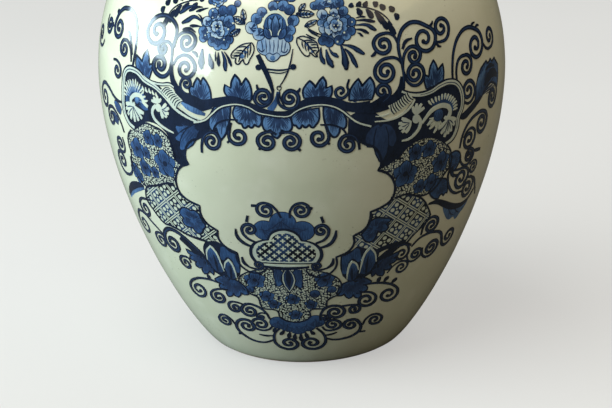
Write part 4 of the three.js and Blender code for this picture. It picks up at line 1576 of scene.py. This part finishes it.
def paint_left_grounds(pen):
    inner = [
        (5.8, 153.5), (1, 156.5), (-5, 157.7), (-11.2, 156.5), (-16.5, 152), (-18.5, 146), (-18.8, 139.6),
        cusp(-18, 136.5),
    ]
    pen.shape("ground", [*LEFT_BAND, *inner, *cartouche_on_side(pen, 136, 160)[::-1], cusp(-42, 165)])
    net = [
        (9.6, 151.2), (5, 154.2), (-0.4, 156.4), (-6.5, 156), (-11.9, 154.6), (-16.5, 151.2), (-18, 146.5),
        (-18.8, 139.6),
    ]
    outer = [
        (-14.2, 125.8), (-9, 125), (-3.5, 122.7), (1.2, 121.2), (5.8, 119.6), (8.8, 118.8), (14.2, 122),
        (18.1, 131.9), (17.3, 136.5), (18.1, 141.2), (17.3, 145.8), (13.5, 149.6),
    ]
    pen.shape("net", [*net, *cartouche_on_side(pen, 123, 137), *outer])
    pen.dark(net, BORDER)
    pen.dark(outer, BORDER)
    trellis = [
        (-25, 93.5), (-18.8, 94.2), (-14.2, 95), (-8, 97), (-2.7, 98.1), (1.9, 98.1), (5.8, 101.2),
        (8.8, 105), (11.9, 108.8), (11.9, 113.5), (8.8, 118.1), (1.2, 121.2), (-3.5, 122.7), (-9, 125),
        cusp(-15, 125),
    ]
    pen.shape("trellis", [*trellis, *cartouche_on_side(pen, 96, 121)])
    pen.dark(trellis, (1.6, 1.4, 1.2, 1.2))
    pen.cut_leaf("deep", (-21.6, 105.4), [
        (-14, 110.4), (-16.4, 112.4), (-19, 112.6), cusp(-21.4, 111.6), (-24, 112), cusp(-26.4, 110.3),
        (-27.3, 106.7), (-28.2, 103.2), cusp(-26.2, 101), (-24.7, 98.7), (-22.6, 97.6), cusp(-20.2, 98.8),
        cusp(-19.6, 101), (-17.4, 100.4), (-14.6, 101.2), (-13.5, 103.2), cusp(-14.8, 105.6), (-13.4, 107.8),
    ], 0.9, 8)
    pen.leaf("deep", (-34, 159), ((-22, 158.5), (-21, 152), (-23.6, 146.5), (-30, 151)), 6.4)


def paint_left_scrolls(pen):
    trunk = [(-40, 171), (-33.5, 173.2), (-27, 175.4), (-22, 179.4), (-19.8, 184.6), (-18.9, 191)]
    pen.dark(trunk, (5.6, 5.2, 4.4, 3.4, 2.6, 2.2))
    pen.curl(
        [
            (-18.9, 191), (-18.6, 198), (-19.4, 203.5), (-19, 207.6), (-16.5, 210.4), (-12.7, 212.3),
            (-8.1, 212.7), (-3.6, 211), (-0.4, 207.3), (0.6, 203.6),
        ],
        (-6.6, 204.4), -1.2, 2.5,
    )
    pen.curl([(-19.2, 198), (-20.6, 203.5), (-25, 206.4), (-30.4, 204.6)], (-26.4, 201.6), 1.3)
    stem = [(-20.2, 189.6), (-22.7, 193.5), (-27, 195.2), (-31.4, 193.2), (-33.2, 189.4)]
    pen.curl(stem, (-27.8, 188.8), 1.2)
    pen.curl([(-32, 176.6), (-28.5, 176.4), (-25.6, 179.4), (-26.4, 183)], (-29, 181.2), 1.2, 1.8)
    pen.curl([(-18.8, 191), (-18.4, 197), (-16, 200), (-12.5, 200.2)], (-12.4, 196.6), -1.3)
    pen.curl([(-19, 191), (-18, 186), (-14.6, 183), (-10.4, 183.4)], (-11.8, 188.4), 1.25, 2.8)
    pen.line([(-30.6, 197.4), (-32.6, 196.6), (-34, 194.8)], 1.8)
    pen.line([(-9.6, 186.4), (-7.6, 185.6), (-5.4, 186)], 1.8)
    pen.cut_leaf("wash", (-0.5, 180), [
        cusp(-4.4, 180), (-5.8, 184), cusp(-7, 188), (-4.8, 187.6), cusp(-3.8, 187), (-3.2, 191),
        cusp(-1.2, 194.4), (1, 191), cusp(1.6, 187.8), (4, 189.2), cusp(6.8, 190.4), (6.8, 186),
        cusp(4.6, 181.6),
    ])


def paint_left_volute(pen):
    pen.dark(LEFT_BAND, (2.6, 3.8, 4.2, 4.4, 4.2, 3.4))
    pen.bare(LEFT_BAND, (1, 1.9, 2.4, 2.5, 2.4, 1.6))
    pen.stroke("streak", LEFT_BAND[3:-2], (0.3, 0.5, 0.5, 0.4), 23)
    edge = [(-21.4, 178.6), (-18.8, 179.6), (-14.2, 178.9), (-8.8, 178.7), (-5, 179.2), (0, 181)]
    pen.dark(edge, (1.6, 2, 2, 1.2), 20)
    pen.bare(edge, (0.7, 0.9, 0.9, 0.5))
    field = [
        cusp(-12.6, 175.6), (-15.4, 177.4), (-19.6, 177.8), (-23, 175.4), cusp(-27, 172.6), (-25, 169.8),
        cusp(-22.8, 167.8), (-17.3, 172),
    ]
    pen.shape("reserve", field, 20.4)
    for index in range(9):
        part = index / 8
        lower = (-13.6 - 9.4 * part, 175 - 7.2 * part + 1.2 * math.sin(math.pi * part))
        upper = (-18.4 - 8.2 * part, 178.2 - 6 * part)
        pen.dark(bowed(lower, upper, -0.12, 3), (0.45, 0.6, 0.6, 0.4), 23)
    pen.stroke("wash", [(-40, 167), (-35, 168), (-30, 169.6), (-26.4, 171.4)], (1.4, 3, 2.8, 1.2), 20)
    pen.bare([(-38, 164), (-32, 165.4), (-27, 168), (-24, 170)], (0.5, 0.9, 0.9, 0.5))


def paint_left_shells(pen):
    """The big shell under the volute's arch, and the small one beside it."""
    pen.fan("deep", (7.6, 166), (-5, 190), (4, 10.6), 13, 2.2)
    pen.fan("reserve", (7.6, 167), (8, 182), (7, 11.2), 15, 1.15)
    pen.fan("pale", (7.6, 167), (14, 176), (4.2, 8.4), 12, 0.8, 21)
    hook = [
        (-3.5, 165.4), (-0.4, 167.3), (1.2, 169.6), (5, 170.4), (8.8, 168.8), (10.8, 166.5), (9.6, 164.2),
        (7.3, 165.4),
    ]
    pen.bare(hook, (1.6, 2.2, 2.3, 2.2, 1.8))
    tips = (
        (15.8, 163.5), (16, 160.8), (14.6, 158), (11.9, 156.2), (8.4, 155.4), (5, 156.6), (1.9, 158.4),
        (0.2, 161.4),
    )
    shades = ((14.6, 162), (13.6, 158.6), (10, 157), (6.6, 157), (3.4, 158.4))
    pen.rays("reserve", (8, 164), tips, 2.1)
    pen.rays("streak", (8.4, 163.4), shades, 0.7, 23)
    pen.disc("wash", (5.4, 167.4), 1.8, 21)
    for x, arc in ((-0.8, 173.4), (-3.4, 173.2), (-6, 173), (-8.6, 172.6), (-11, 171.8)):
        pen.bare(bowed((x + 1.6, arc + 2.2), (x, arc), 0.15, 2), (0.4, 1.3, 0.7))
    pen.disc("reserve", (-11.2, 166.5), 2.1)
    small_hook = [(-9.4, 167.4), (-6.8, 164.6), (-7.3, 161.2), (-10.4, 158.4), (-15.8, 156), (-20.4, 154.8)]
    pen.bare(small_hook, (1.9, 1.8, 1.4, 0.7))
    tips = ((-16.6, 169.6), (-18.4, 167.4), (-18.2, 164.6), (-16.8, 162.4), (-14, 161.4))
    pen.rays("reserve", (-13, 166), tips, 1.9)
    pen.rays("streak", (-13.6, 166), ((-17, 168), (-17.2, 165.6), (-15.8, 163.2)), 0.6, 23)
    pen.rays("reserve", (-10.6, 168.6), ((-13, 171.4), (-10.4, 172.4), (-7.8, 171.4), (-6.4, 169.4)), 1.6)


def paint_left_net_flowers(pen):
    for x, arc, radius in (
        (-1.2, 148.8, 3.8), (-8.1, 148.5, 3.5), (10, 140.4, 5.4), (-11.2, 136.5, 6.8), (5.8, 130.4, 4.4),
        (-1.9, 129.6, 3), (2.4, 139.6, 3),
    ):
        pen.blossom((x, arc), radius)
    base = (14.2, 125.8)
    reaches = (5.632, 6.912)
    tips = [round_point(base, reaches[index % 2], 47.5 * index - 130) for index in range(5)]
    for index, tip in enumerate(tips):
        pen.lobe("deep", base, tip, 3.6, 1 + index % 3)
    pen.disc("deep", base, 2.688, 19)
    for tip in tips:
        vein = bowed(between(base, tip, 0.2), between(base, tip, 0.65), 0, 2)
        pen.stroke("streak", vein, (0.5, 0.45, 0.2), 18)


def paint_left_far_scrolls(pen):
    """Beyond the volute, towards the back."""
    arch = [
        (9.6, 182.5), (8.2, 192), (8.8, 200.4), (11.2, 206.5), (15.8, 210.4), (21.9, 211.5), (28.1, 209.6),
        (32.7, 204.2),
    ]
    pen.curl(arch, (27.8, 200.6), -1.4, 2.6)
    pen.dash((30, 208.6), (34, 207.8))
    pen.dash((35.4, 200.4), (37.4, 200))
    pen.curl([(45.4, 204), (46, 200), (43.6, 196)], (41.2, 199.6), -1.3)
    pen.curl([(11, 186), (12.4, 191.6), (15, 195), (18.6, 195.8)], (18.8, 191.3), -1.35)
    pen.line([(10.6, 189.5), (12.8, 195), (15, 199), (18.4, 201)], 2)
    pen.curl([(30.4, 183.6), (26, 184), (21.8, 181.6)], (25.2, 179), 1.1)
    stem = [(20.4, 163.1), (24.2, 163.1), (29.6, 164.2), (35.8, 167.3), (43.5, 168.5), (49, 165.5)]
    pen.curl(stem, (44.2, 161), -1.3)
    pen.curl([(21.2, 146.5), (24.2, 151.9), (29.6, 156.5), (35, 157.7), (39.6, 155)], (35.6, 152), -1.2)
    pen.lobe("deep", (22, 157.4), (29.6, 161.6), 4.4)
    pen.lobe("deep", (27, 150.6), (35, 154.6), 4)
    pen.curl([(47.6, 190), (51, 186.6), (56, 186)], (56.4, 191.6), 1.3)


def paint_left_low_scrolls(pen):
    near = [
        (-21.9, 81.2), (-18.1, 85.8), (-14.2, 89.6), (-10.4, 92.7), (-5.8, 95), (-1.2, 95.4), (2.7, 93.5),
        (5.8, 89.6),
    ]
    far = [(5.8, 88.1), (10.4, 91.9), (15, 95), (20.4, 98.1), (25.8, 98.8), (28.8, 98.1), (31.9, 95)]
    pen.curl(near, (0.6, 86), -1.35, 2.8)
    pen.curl(far, (27, 90), -1.3, 2)
    pen.curl([(7, 87), (9.5, 89), (12.4, 89.2), (16, 86.6)], (11.6, 84.4), -1.2, 2)
    pen.curl([(-8.6, 75), (-8, 78), (-4.6, 78.6)], (-4.2, 74), -1.3, 2)
    pen.curl([(9, 110.4), (14, 109.8), (19, 108.6), (22.4, 104.8)], (17.4, 102.8), -1.2)
    swoosh = [(11.9, 118.1), (18.1, 117.3), (24.2, 115), (30.4, 111.2), (35.8, 105.8)]
    pen.stroke("wash", [(x, arc - 1.6) for x, arc in swoosh], (1, 4.6, 6, 4.6, 1))
    pen.dark(swoosh, (1.5, 3.6, 4.6, 3.6, 2))
    loop = [
        (18.8, 133.5), (19.6, 127.3), (21.9, 123.5), (26.5, 121.2), (31.9, 121.2), (35.8, 124.2),
        (36.5, 128.8),
    ]
    pen.curl(loop, (31, 128.5), 1.3, 2.1)
    pen.curl([(24.6, 143), (23.4, 138.4), (25.6, 134.6), (30, 134.4)], (28.6, 138.6), 1.2, 2)


# The back and the shoulder, which the photograph doesn't show.


def paint_back():
    pen = Pen("back", 180)
    pen.dahlia((0, 196), 9)
    for side in (-1, 1):

        def there(*points):
            return [(side * x, arc) for x, arc in points]

        for stem, eye, turns, width in (
            (((1.5, 150), (8, 158), (17, 163), (27, 163.5), (35, 158)), (28.5, 153.5), -1.4, 2.1),
            (((9, 159.5), (9, 168), (13.5, 175.5), (21, 177)), (20.5, 170), -1.4, 1.8),
            (((3, 152), (12, 149), (18, 142), (17, 134)), (11, 137), -1.4, 1.8),
            (((2, 176), (8, 181), (16, 184), (24, 183), (29, 188)), (23, 191), 1.3, 1.8),
            (((1, 140), (8, 131), (8, 122), (2.5, 116.5)), (5, 122), -0.9, 1.6),
        ):
            pen.curl(there(*stem), *there(eye), side * turns, width)
        for paint, base, tips, width in (
            ("wash", (13, 160), ((15, 170), (21, 169.5), (22, 165)), 4.6),
            ("wash", (5, 178), ((8, 188), (14, 190), (17, 186)), 4.6),
            ("deep", (6, 148), ((12, 141), (6, 136), (2, 140)), 4.8),
        ):
            pen.leaf(paint, *there(base), tuple(there(*tips)), width)
        pen.bloom("wash", (side * 10, 200), 3.2)
        pen.bloom("pale", (side * 7.5, 206), 2.8)
        pen.veined_leaf(*there((10.6, 194), (19, 198.5)), 4.4)
        for x, arc, end_x, end_arc in (
            (12, 203, 20, 206), (9, 208, 15, 214), (4, 207, 6, 215), (13, 191, 19, 192),
        ):
            pen.dashes(2.2, (side * x, arc, side * end_x, end_arc))
    pen.line([(0, 187), (-0.6, 176), (0.4, 162), (0, 148), (0.4, 132), (0, 116)], (1.2, 2, 2.6, 2.2, 1))
    pen.finish()


RING_ARCS = (258, 263)
LAPPETS = 36


def paint_shoulder():
    """Two rings at the neck's root, and a border of small pressed strokes under them."""
    pen = Pen("shoulder_border")
    for arc, width in zip(RING_ARCS, (0.9, 1.8)):
        reach = math.pi * float(wall_radius(arc))
        pen.dark(bowed((-reach, arc), (reach, arc), 0, 2 * LAPPETS), (width, width))
    for index in range(LAPPETS):
        turn = 2 * math.pi * (index + 0.5) / LAPPETS - math.pi
        x = turn * float(wall_radius(250))
        high = turn * float(wall_radius(256))
        pen.dash((high, 256.2), (x, 249.5 if index % 2 else 247.5), 2.6, 0)
        pen.disc("line", (turn * float(wall_radius(245)), 245.5 if index % 2 else 243.5), 0.8)
    pen.finish()


# Turned pieces: a section spun round the jar's axis.


def arc_points(centre, radius, first, last, steps):
    return [round_point(centre, radius, first + (last - first) * step / steps) for step in range(steps + 1)]


def pushed(points, distance):
    """A section's line moved sideways: positive moves a rising line away from the axis."""
    line = np.array(points)
    along = np.gradient(line, axis=0)
    along /= np.linalg.norm(along, axis=1, keepdims=True)
    return [tuple(point) for point in line + distance * np.stack([along[:, 1], -along[:, 0]], 1)]


def finely(points, step):
    """The same line with no stretch longer than step."""
    fine = []
    for start, end in zip(points, points[1:]):
        count = max(1, math.ceil(math.dist(start, end) / step))
        for part in range(count):
            fine.append(tuple(Vector(start).lerp(Vector(end), part / count)))
    return [*fine, points[-1]]


def turned(name, section, sides, material):
    """Spins a section, in millimetres. It is closed, or it starts and ends on the axis."""
    bm = bmesh.new()
    rings = [bm.verts.new((radius * MM, 0, height * MM)) for radius, height in section]
    pairs = list(zip(rings, rings[1:]))
    if section[0][0]:
        pairs.append((rings[-1], rings[0]))
    geom = [*rings, *(bm.edges.new(pair) for pair in pairs)]
    bmesh.ops.spin(
        bm, geom=geom, cent=(0, 0, 0), axis=(0, 0, 1), angle=2 * math.pi, steps=sides, use_merge=True
    )
    bmesh.ops.remove_doubles(bm, verts=bm.verts[:], dist=1e-7)
    bmesh.ops.recalc_face_normals(bm, faces=bm.faces[:])
    piece = object_from(bm, name, material)
    smooth(piece)
    return piece


SHARP = math.radians(38)


def smooth(piece):
    piece.data.shade_smooth()
    piece.data.set_sharp_from_angle(angle=SHARP)


def throw_jar():
    mouth = NECK_RADIUS - WALL
    ring_inner = FOOT_RADIUS - FOOT_RING_WIDTH
    wall = [point for point in outer_wall(48) if point[1] > 1.2]
    inner = [
        point
        for point in reversed(pushed(outer_wall(24), -WALL))
        if point[1] > FLOOR + 2 and point[0] > mouth and point[1] < NECK_ROOT
    ]
    section = [
        (0, FOOT_RING_DEPTH), (ring_inner - 2.6, FOOT_RING_DEPTH),
        *arc_points((ring_inner - 2.4, FOOT_RING_DEPTH - 1.4), 1.4, 90, 20, 3),
        (ring_inner, 0.4), (ring_inner + 0.8, 0), (FOOT_RADIUS - 1.2, 0),
        *arc_points((FOOT_RADIUS - 1.0, 1.2), 1.2, -70, -20, 3),
        *finely(wall, 3),
        *finely([(NECK_RADIUS, NECK_ROOT + 1.5), (NECK_RADIUS, RIM_TOP - RIM_ROUND - 0.5)], 4),
        *arc_points((NECK_RADIUS - RIM_ROUND, RIM_TOP - RIM_ROUND), RIM_ROUND, 0, 90, 6),
        *arc_points((mouth + RIM_ROUND, RIM_TOP - RIM_ROUND), RIM_ROUND, 90, 180, 6),
        *finely([(mouth, RIM_TOP - RIM_ROUND - 1), (mouth, NECK_ROOT)], 5),
        *inner,
        (inner[-1][0] - 3.5, FLOOR), (0, FLOOR),
    ]
    piece = turned("glazed_jar", section, 256, glaze)
    places = read(piece.data.vertices, "co", 3) / MM
    radius = np.hypot(places[:, 0], places[:, 1])
    angle = np.arctan2(places[:, 0], -places[:, 1])
    swell = 1 + bulge(angle, places[:, 2]) / np.maximum(radius, 1)
    places[:, :2] *= swell[:, None]
    piece.data.vertices.foreach_set("co", (places * MM).ravel())
    piece.data.update()
    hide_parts("jar_body")
    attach(piece, "jar")


# Brass and iron.

BRASS = (0.52, 0.345, 0.115)
BRASS_LIGHT = (0.62, 0.44, 0.18)
BRASS_BROWN = (0.15, 0.085, 0.032)
IRON_DARK = (0.10, 0.085, 0.072)
IRON_WORN = (0.17, 0.145, 0.12)
RUST = (0.16, 0.06, 0.022)


def brass_finish(name, marks, patina):
    """Turned brass: fine rings from the lathe, bright where hands reach, brown where they don't."""
    finish = Finish(name, {"Metallic": 1.0})
    place = finish.place()
    x, y, z = finish.parts(place)
    rings = finish.noise(finish.joined((x * x + y * y).root(), z, 0), marks, 2, 0.7)
    cloud = finish.noise(place, 46, 4, 0.62)
    smear = finish.noise(finish.mapped(place, (1, 1, 3)), 130, 3, 0.6, 0.6)
    tone = finish.mix(cloud.ramp(0.35, 0.7), BRASS, BRASS_LIGHT)
    tarnish = (cloud * 0.6 + smear * 0.4).ramp(0.50, 0.66) * patina
    spots = finish.noise(place, 420, 1).ramp(0.70, 0.78) * 0.5
    finish.feed("Base Color", finish.mix(tarnish.most(spots), tone, BRASS_BROWN))
    finish.feed("Roughness", rings * 0.14 + smear.ramp(0.4, 0.7) * 0.10 + tarnish * 0.18 + 0.14)
    finish.bump(rings * 0.6 + cloud * 0.6, 0.22, 0.0005)
    return finish.material


def iron_finish():
    finish = Finish("forged_iron", {"Metallic": 0.85})
    place = finish.place()
    scale = finish.noise(place, 320, 4, 0.65)
    rust = finish.noise(place, 140, 3, 0.7).ramp(0.52, 0.68)
    tone = finish.mix(scale.ramp(0.35, 0.7), IRON_DARK, IRON_WORN)
    finish.feed("Base Color", finish.mix(rust * 0.8, tone, RUST))
    finish.feed("Roughness", scale * 0.25 + rust * 0.25 + 0.36)
    finish.bump(scale, 0.5, 0.0003)
    return finish.material


METALS = {
    "brass_sheet": brass_finish("spun_brass", 2600, 0.45),
    "brass_turned": brass_finish("turned_brass", 3200, 0.35),
    "iron": iron_finish(),
}

GROOVE_WIDTH = 0.4
GROOVE_DEPTH = 0.3


def grooved(points, grooves):
    """Fine rings cut into a section's line, at distances along it."""
    line = np.array(finely(points, 0.32))
    run = np.concatenate([[0], np.cumsum(np.hypot(*np.diff(line, axis=0).T))])
    depth = sum(GROOVE_DEPTH * np.exp(-(((run - at) / GROOVE_WIDTH) ** 2)) for at in grooves)
    along = np.gradient(line, axis=0)
    along /= np.linalg.norm(along, axis=1, keepdims=True)
    cut = line - depth[:, None] * np.stack([along[:, 1], -along[:, 0]], 1)
    kept = [tuple(cut[0])]
    for point, deep in zip(cut[1:], depth[1:]):
        if deep > 0.004 or math.dist(point, kept[-1]) > 1.4:
            kept.append(tuple(point))
    return kept


def dress_lid(piece, node):
    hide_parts(node)
    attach(piece, "lid")


def lid_piece(name, section, sides, node, slot):
    dress_lid(turned(name, section, sides, METALS[slot]), node)


def spin_lid():
    turn = (SKIRT_OUTER - SKIRT_TURN, LEDGE_TOP - SKIRT_TURN)
    dome = swept(
        (STEP_OUTER, DOME_FOOT), (STEP_OUTER, DOME_FOOT + DOME_FULLNESS),
        (DOME_TOP_RADIUS + DOME_TOP_PULL, DOME_TOP), (DOME_TOP_RADIUS, DOME_TOP),
        60,
    )
    skirt = grooved([(SKIRT_OUTER, SKIRT_FOOT + 0.3), (SKIRT_OUTER, turn[1])], (7.2, 8.6, 15.2))
    upper = [
        (SKIRT_OUTER - 0.3, SKIRT_FOOT),
        *skirt,
        *arc_points(turn, SKIRT_TURN, 8, 90, 10),
        *arc_points((STEP_OUTER + 1, LEDGE_TOP + 1), 1, 270, 180, 4),
        *grooved([(STEP_OUTER, LEDGE_TOP + 1.4), *dome], (3.2, 6.0, 7.4, 43, 44.6, 60)),
        (STUD_HOLE + 0.2, DOME_TOP),
    ]
    lower = [
        (STUD_HOLE, DOME_TOP - 0.2), (STUD_HOLE, DOME_TOP - SHEET),
        *reversed(pushed(dome[::3], -SHEET)),
        (STEP_OUTER - SHEET, LEDGE_TOP - SHEET + 0.4), (STEP_OUTER - SHEET + 0.5, LEDGE_TOP - SHEET),
        *arc_points(turn, SKIRT_TURN - SHEET, 90, 0, 8),
        (SKIRT_OUTER - SHEET, SKIRT_FOOT + 0.2), (SKIRT_OUTER - SHEET + 0.3, SKIRT_FOOT),
    ]
    lid_piece("spun_cover", [*upper, *lower], 160, "lid_cover", "brass_sheet")


def bead_skirt():
    inner = SKIRT_OUTER + SEAT_GAP
    middle = SKIRT_FOOT + BEAD_RADIUS
    section = [
        (inner, SKIRT_FOOT),
        *arc_points((inner, middle), BEAD_RADIUS, -75, 75, 14),
        (inner, SKIRT_FOOT + 2 * BEAD_RADIUS),
    ]
    lid_piece("bead_ring", section, 160, "skirt_bead", "brass_sheet")


PLATE_FOOT = DOME_TOP + SEAT_GAP
KNOB_FOOT = PLATE_FOOT + PLATE_HEIGHT + SEAT_GAP


def turn_plate():
    top = PLATE_FOOT + PLATE_HEIGHT
    section = [
        (STUD_HOLE, PLATE_FOOT), (PLATE_RADIUS, PLATE_FOOT),
        *arc_points((PLATE_RADIUS, PLATE_FOOT + PLATE_ROUND), PLATE_ROUND, -60, 90, 10),
        (KNOB_FOOT_RADIUS + 1.6, PLATE_FOOT + 2 * PLATE_ROUND),
        *arc_points((KNOB_FOOT_RADIUS + 1.4, top), 0.8, 270, 180, 4),
        (KNOB_FOOT_RADIUS, top), (STUD_HOLE, top),
    ]
    lid_piece("turned_plate", section, 96, "finial_plate", "brass_turned")


def turn_knob():
    ball_half = KNOB_BALL_RADIUS * KNOB_BALL_SQUASH
    stem_top = KNOB_FOOT + KNOB_FOOT_HEIGHT + KNOB_STEM_HEIGHT
    first = -math.acos(KNOB_STEM_RADIUS / KNOB_BALL_RADIUS)
    last = math.acos(KNOB_TIP_NECK / KNOB_BALL_RADIUS)
    middle = stem_top - ball_half * math.sin(first)
    tip_neck = middle + ball_half * math.sin(last)
    steps = 34
    ball = []
    for step in range(1, steps + 1):
        angle = first + (last - first) * step / steps
        groove = 0.35 * math.exp(-((angle / 0.035) ** 2)) + 0.2 * math.exp(-(((angle - 0.12) / 0.03) ** 2))
        ball.append(((KNOB_BALL_RADIUS - groove) * math.cos(angle), middle + ball_half * math.sin(angle)))
    waist = swept(
        (KNOB_FOOT_RADIUS - 1, KNOB_FOOT + KNOB_FOOT_HEIGHT),
        (KNOB_STEM_RADIUS, KNOB_FOOT + KNOB_FOOT_HEIGHT),
        (KNOB_STEM_RADIUS * 0.6, stem_top - KNOB_STEM_HEIGHT * 0.3), (KNOB_STEM_RADIUS, stem_top),
        14,
    )
    tip = (0, tip_neck + KNOB_TIP_RADIUS * 0.8)
    half_foot = KNOB_FOOT_HEIGHT / 2
    section = [
        (0, KNOB_FOOT + KNOB_BORE_DEPTH), (STUD_HOLE, KNOB_FOOT + KNOB_BORE_DEPTH), (STUD_HOLE, KNOB_FOOT),
        (KNOB_FOOT_RADIUS - 0.5, KNOB_FOOT),
        *arc_points((KNOB_FOOT_RADIUS - half_foot, KNOB_FOOT + half_foot), half_foot, -60, 60, 8),
        *waist,
        *ball,
        *arc_points(tip, KNOB_TIP_RADIUS, -45, 84, 12),
        (0, tip[1] + KNOB_TIP_RADIUS),
    ]
    lid_piece("turned_knob", section, 96, "finial_knob", "brass_turned")


def cut_stud():
    """Its thread is cut as rings, as fine as a real one's turns."""
    section = [(0, STUD_FOOT), (STUD_RADIUS - 0.6, STUD_FOOT)]
    height = STUD_FOOT + 0.6
    while height < STUD_TOP - THREAD_PITCH:
        section.append((STUD_RADIUS, height))
        section.append((STUD_RADIUS - THREAD_DEPTH, height + THREAD_PITCH / 2))
        height += THREAD_PITCH
    section += [(STUD_RADIUS, height), (STUD_RADIUS - 0.4, STUD_TOP), (0, STUD_TOP)]
    lid_piece("threaded_stud", section, 40, "finial_stud", "iron")


def turn_washer():
    top = WASHER_FOOT + WASHER_HEIGHT
    section = [
        (STUD_HOLE, WASHER_FOOT), (WASHER_RADIUS - 0.4, WASHER_FOOT), (WASHER_RADIUS, WASHER_FOOT + 0.4),
        (WASHER_RADIUS, top - 0.4), (WASHER_RADIUS - 0.4, top), (STUD_HOLE, top),
    ]
    lid_piece("brass_washer", section, 64, "finial_washer", "brass_turned")


def squarely_out(vert):
    return max(abs(vert.co.x), abs(vert.co.y))


def file_nut():
    """A square nut, drilled for the stud, its edges filed off."""
    bm = bmesh.new()
    half = NUT_SIDE / 2
    bmesh.ops.create_circle(bm, segments=32, radius=STUD_HOLE)
    for vert in bmesh.ops.create_circle(bm, segments=32, radius=half)["verts"]:
        vert.co *= half / squarely_out(vert)
    bmesh.ops.bridge_loops(bm, edges=bm.edges[:])
    raised = bmesh.ops.extrude_face_region(bm, geom=bm.faces[:])["geom"]
    lifted = [item for item in raised if isinstance(item, bmesh.types.BMVert)]
    bmesh.ops.translate(bm, vec=(0, 0, NUT_HEIGHT), verts=lifted)
    bmesh.ops.recalc_face_normals(bm, faces=bm.faces[:])
    outer = [
        edge
        for edge in bm.edges
        if edge.calc_face_angle(0) > 1 and min(map(squarely_out, edge.verts)) > half - 0.1
    ]
    bmesh.ops.bevel(bm, geom=outer, offset=0.35, segments=2, profile=0.5, affect="EDGES", material=-1)
    bmesh.ops.translate(bm, vec=(0, 0, NUT_FOOT), verts=bm.verts[:])
    bmesh.ops.scale(bm, vec=(MM, MM, MM), verts=bm.verts[:])
    piece = object_from(bm, "square_nut", METALS["iron"])
    smooth(piece)
    dress_lid(piece, "finial_nut")


# The studio: a pale floor, a pale room, two soft windows on the left, and weak lamps on the right and behind.

FLOOR_REACH = 4.0
FLOOR_GREY = (0.47, 0.47, 0.465)
FLOOR_LIGHT_GREY = (0.49, 0.49, 0.485)
FLOOR_SHADED = (0.23, 0.23, 0.226)  # what the lamps add to it, and the jar's shadow takes away
FLOOR_THROWN_BACK = (0.17, 0.16, 0.145)
FLOOR_MIRRORED = (0.07, 0.068, 0.062)
ROOM_SEEN = (0.60, 0.605, 0.60)
ROOM_LIGHT = (1.0, 0.93, 0.77)
ROOM_STRENGTH = 0.16
ROOM_STRENGTH_MIRRORED = 0.03
# Each lamp's azimuth, elevation, distance, width, height, power and colour.
LAMPS = {
    "left_window": (-76, 9, 1.3, 1.7, 0.30, 25.5, (0.74, 0.95, 1.0)),
    "skylight": (-48, 62, 1.6, 1.5, 1.4, 34, (0.98, 0.99, 0.95)),
    "right_lamp": (70, 45, 1.5, 1.0, 1.0, 3.6, (1.0, 0.71, 0.34)),
    "back_lamp": (150, 38, 1.6, 1.4, 1.0, 7, (1.0, 0.99, 0.96)),
}
LAMP_AIM = 0.16


def lay_floor():
    """Pale to the eye, with the jar's shadow, but dim in the glaze and in the light that it throws back."""
    constants = {"Roughness": 1.0, "Specular IOR Level": 0.0, "Emission Strength": 1.0}
    finish = Finish("studio_floor", constants)
    tone = finish.noise(finish.place(), 2.2, 2).ramp(0.3, 0.7)
    seen = finish.ray("Camera")
    dim = finish.mix(finish.ray("Glossy"), FLOOR_THROWN_BACK, FLOOR_MIRRORED)
    pale = finish.mix(tone, FLOOR_GREY, FLOOR_LIGHT_GREY)
    finish.feed("Base Color", finish.mix(seen, dim, FLOOR_SHADED))
    finish.feed("Emission Color", finish.mix(seen, (0, 0, 0), pale))
    floor = bmesh.new()
    bmesh.ops.create_circle(floor, cap_ends=True, segments=96, radius=FLOOR_REACH)
    object_from(floor, "studio_floor", finish.material)


def light_room():
    """A room that looks pale and lights the jar weakly, so that the lamps shape it."""
    world = bpy.data.worlds.new("studio")
    world.use_nodes = True
    bpy.context.scene.world = world
    room = Nodes(world.node_tree)
    strength = ROOM_STRENGTH - room.ray("Glossy") * (ROOM_STRENGTH - ROOM_STRENGTH_MIRRORED)
    dim = room.node("ShaderNodeBackground", None, {"Color": colour(ROOM_LIGHT), "Strength": strength})
    pale = room.node("ShaderNodeBackground", None, {"Color": colour(ROOM_SEEN)})
    either = room.node("ShaderNodeMixShader", None, {0: room.ray("Camera"), 1: dim, 2: pale})
    room.plug(world.node_tree.nodes["World Output"].inputs["Surface"], either)


def hang_window(name, azimuth, elevation, distance, width, height, power, tint):
    """A soft lamp that faces the jar's shoulder, by its direction from it in degrees."""
    turn = math.radians(azimuth)
    rise = math.radians(elevation)
    away = Vector((math.sin(turn) * math.cos(rise), -math.cos(turn) * math.cos(rise), math.sin(rise)))
    lamp = bpy.data.lights.new(name, "AREA")
    lamp.shape = "RECTANGLE"
    lamp.size = width
    lamp.size_y = height
    lamp.energy = power
    lamp.color = tint
    holder = bpy.data.objects.new(name, lamp)
    holder.location = Vector((0, 0, LAMP_AIM)) + away * distance
    holder.rotation_euler = away.to_track_quat("Z", "Y").to_euler()
    bpy.context.scene.collection.objects.link(holder)


def main():
    throw_jar()
    paint_bouquet()
    paint_garland()
    paint_cartouche()
    paint_basket()
    paint_pendant()
    paint_foot_scrolls()
    paint_right_side()
    paint_left_side()
    paint_back()
    paint_shoulder()
    spin_lid()
    bead_skirt()
    turn_plate()
    turn_knob()
    cut_stud()
    turn_washer()
    file_nut()
    lay_floor()
    light_room()
    for name, placing in LAMPS.items():
        hang_window(name, *placing)
    bpy.context.scene.view_settings.view_transform = "Standard"


main()
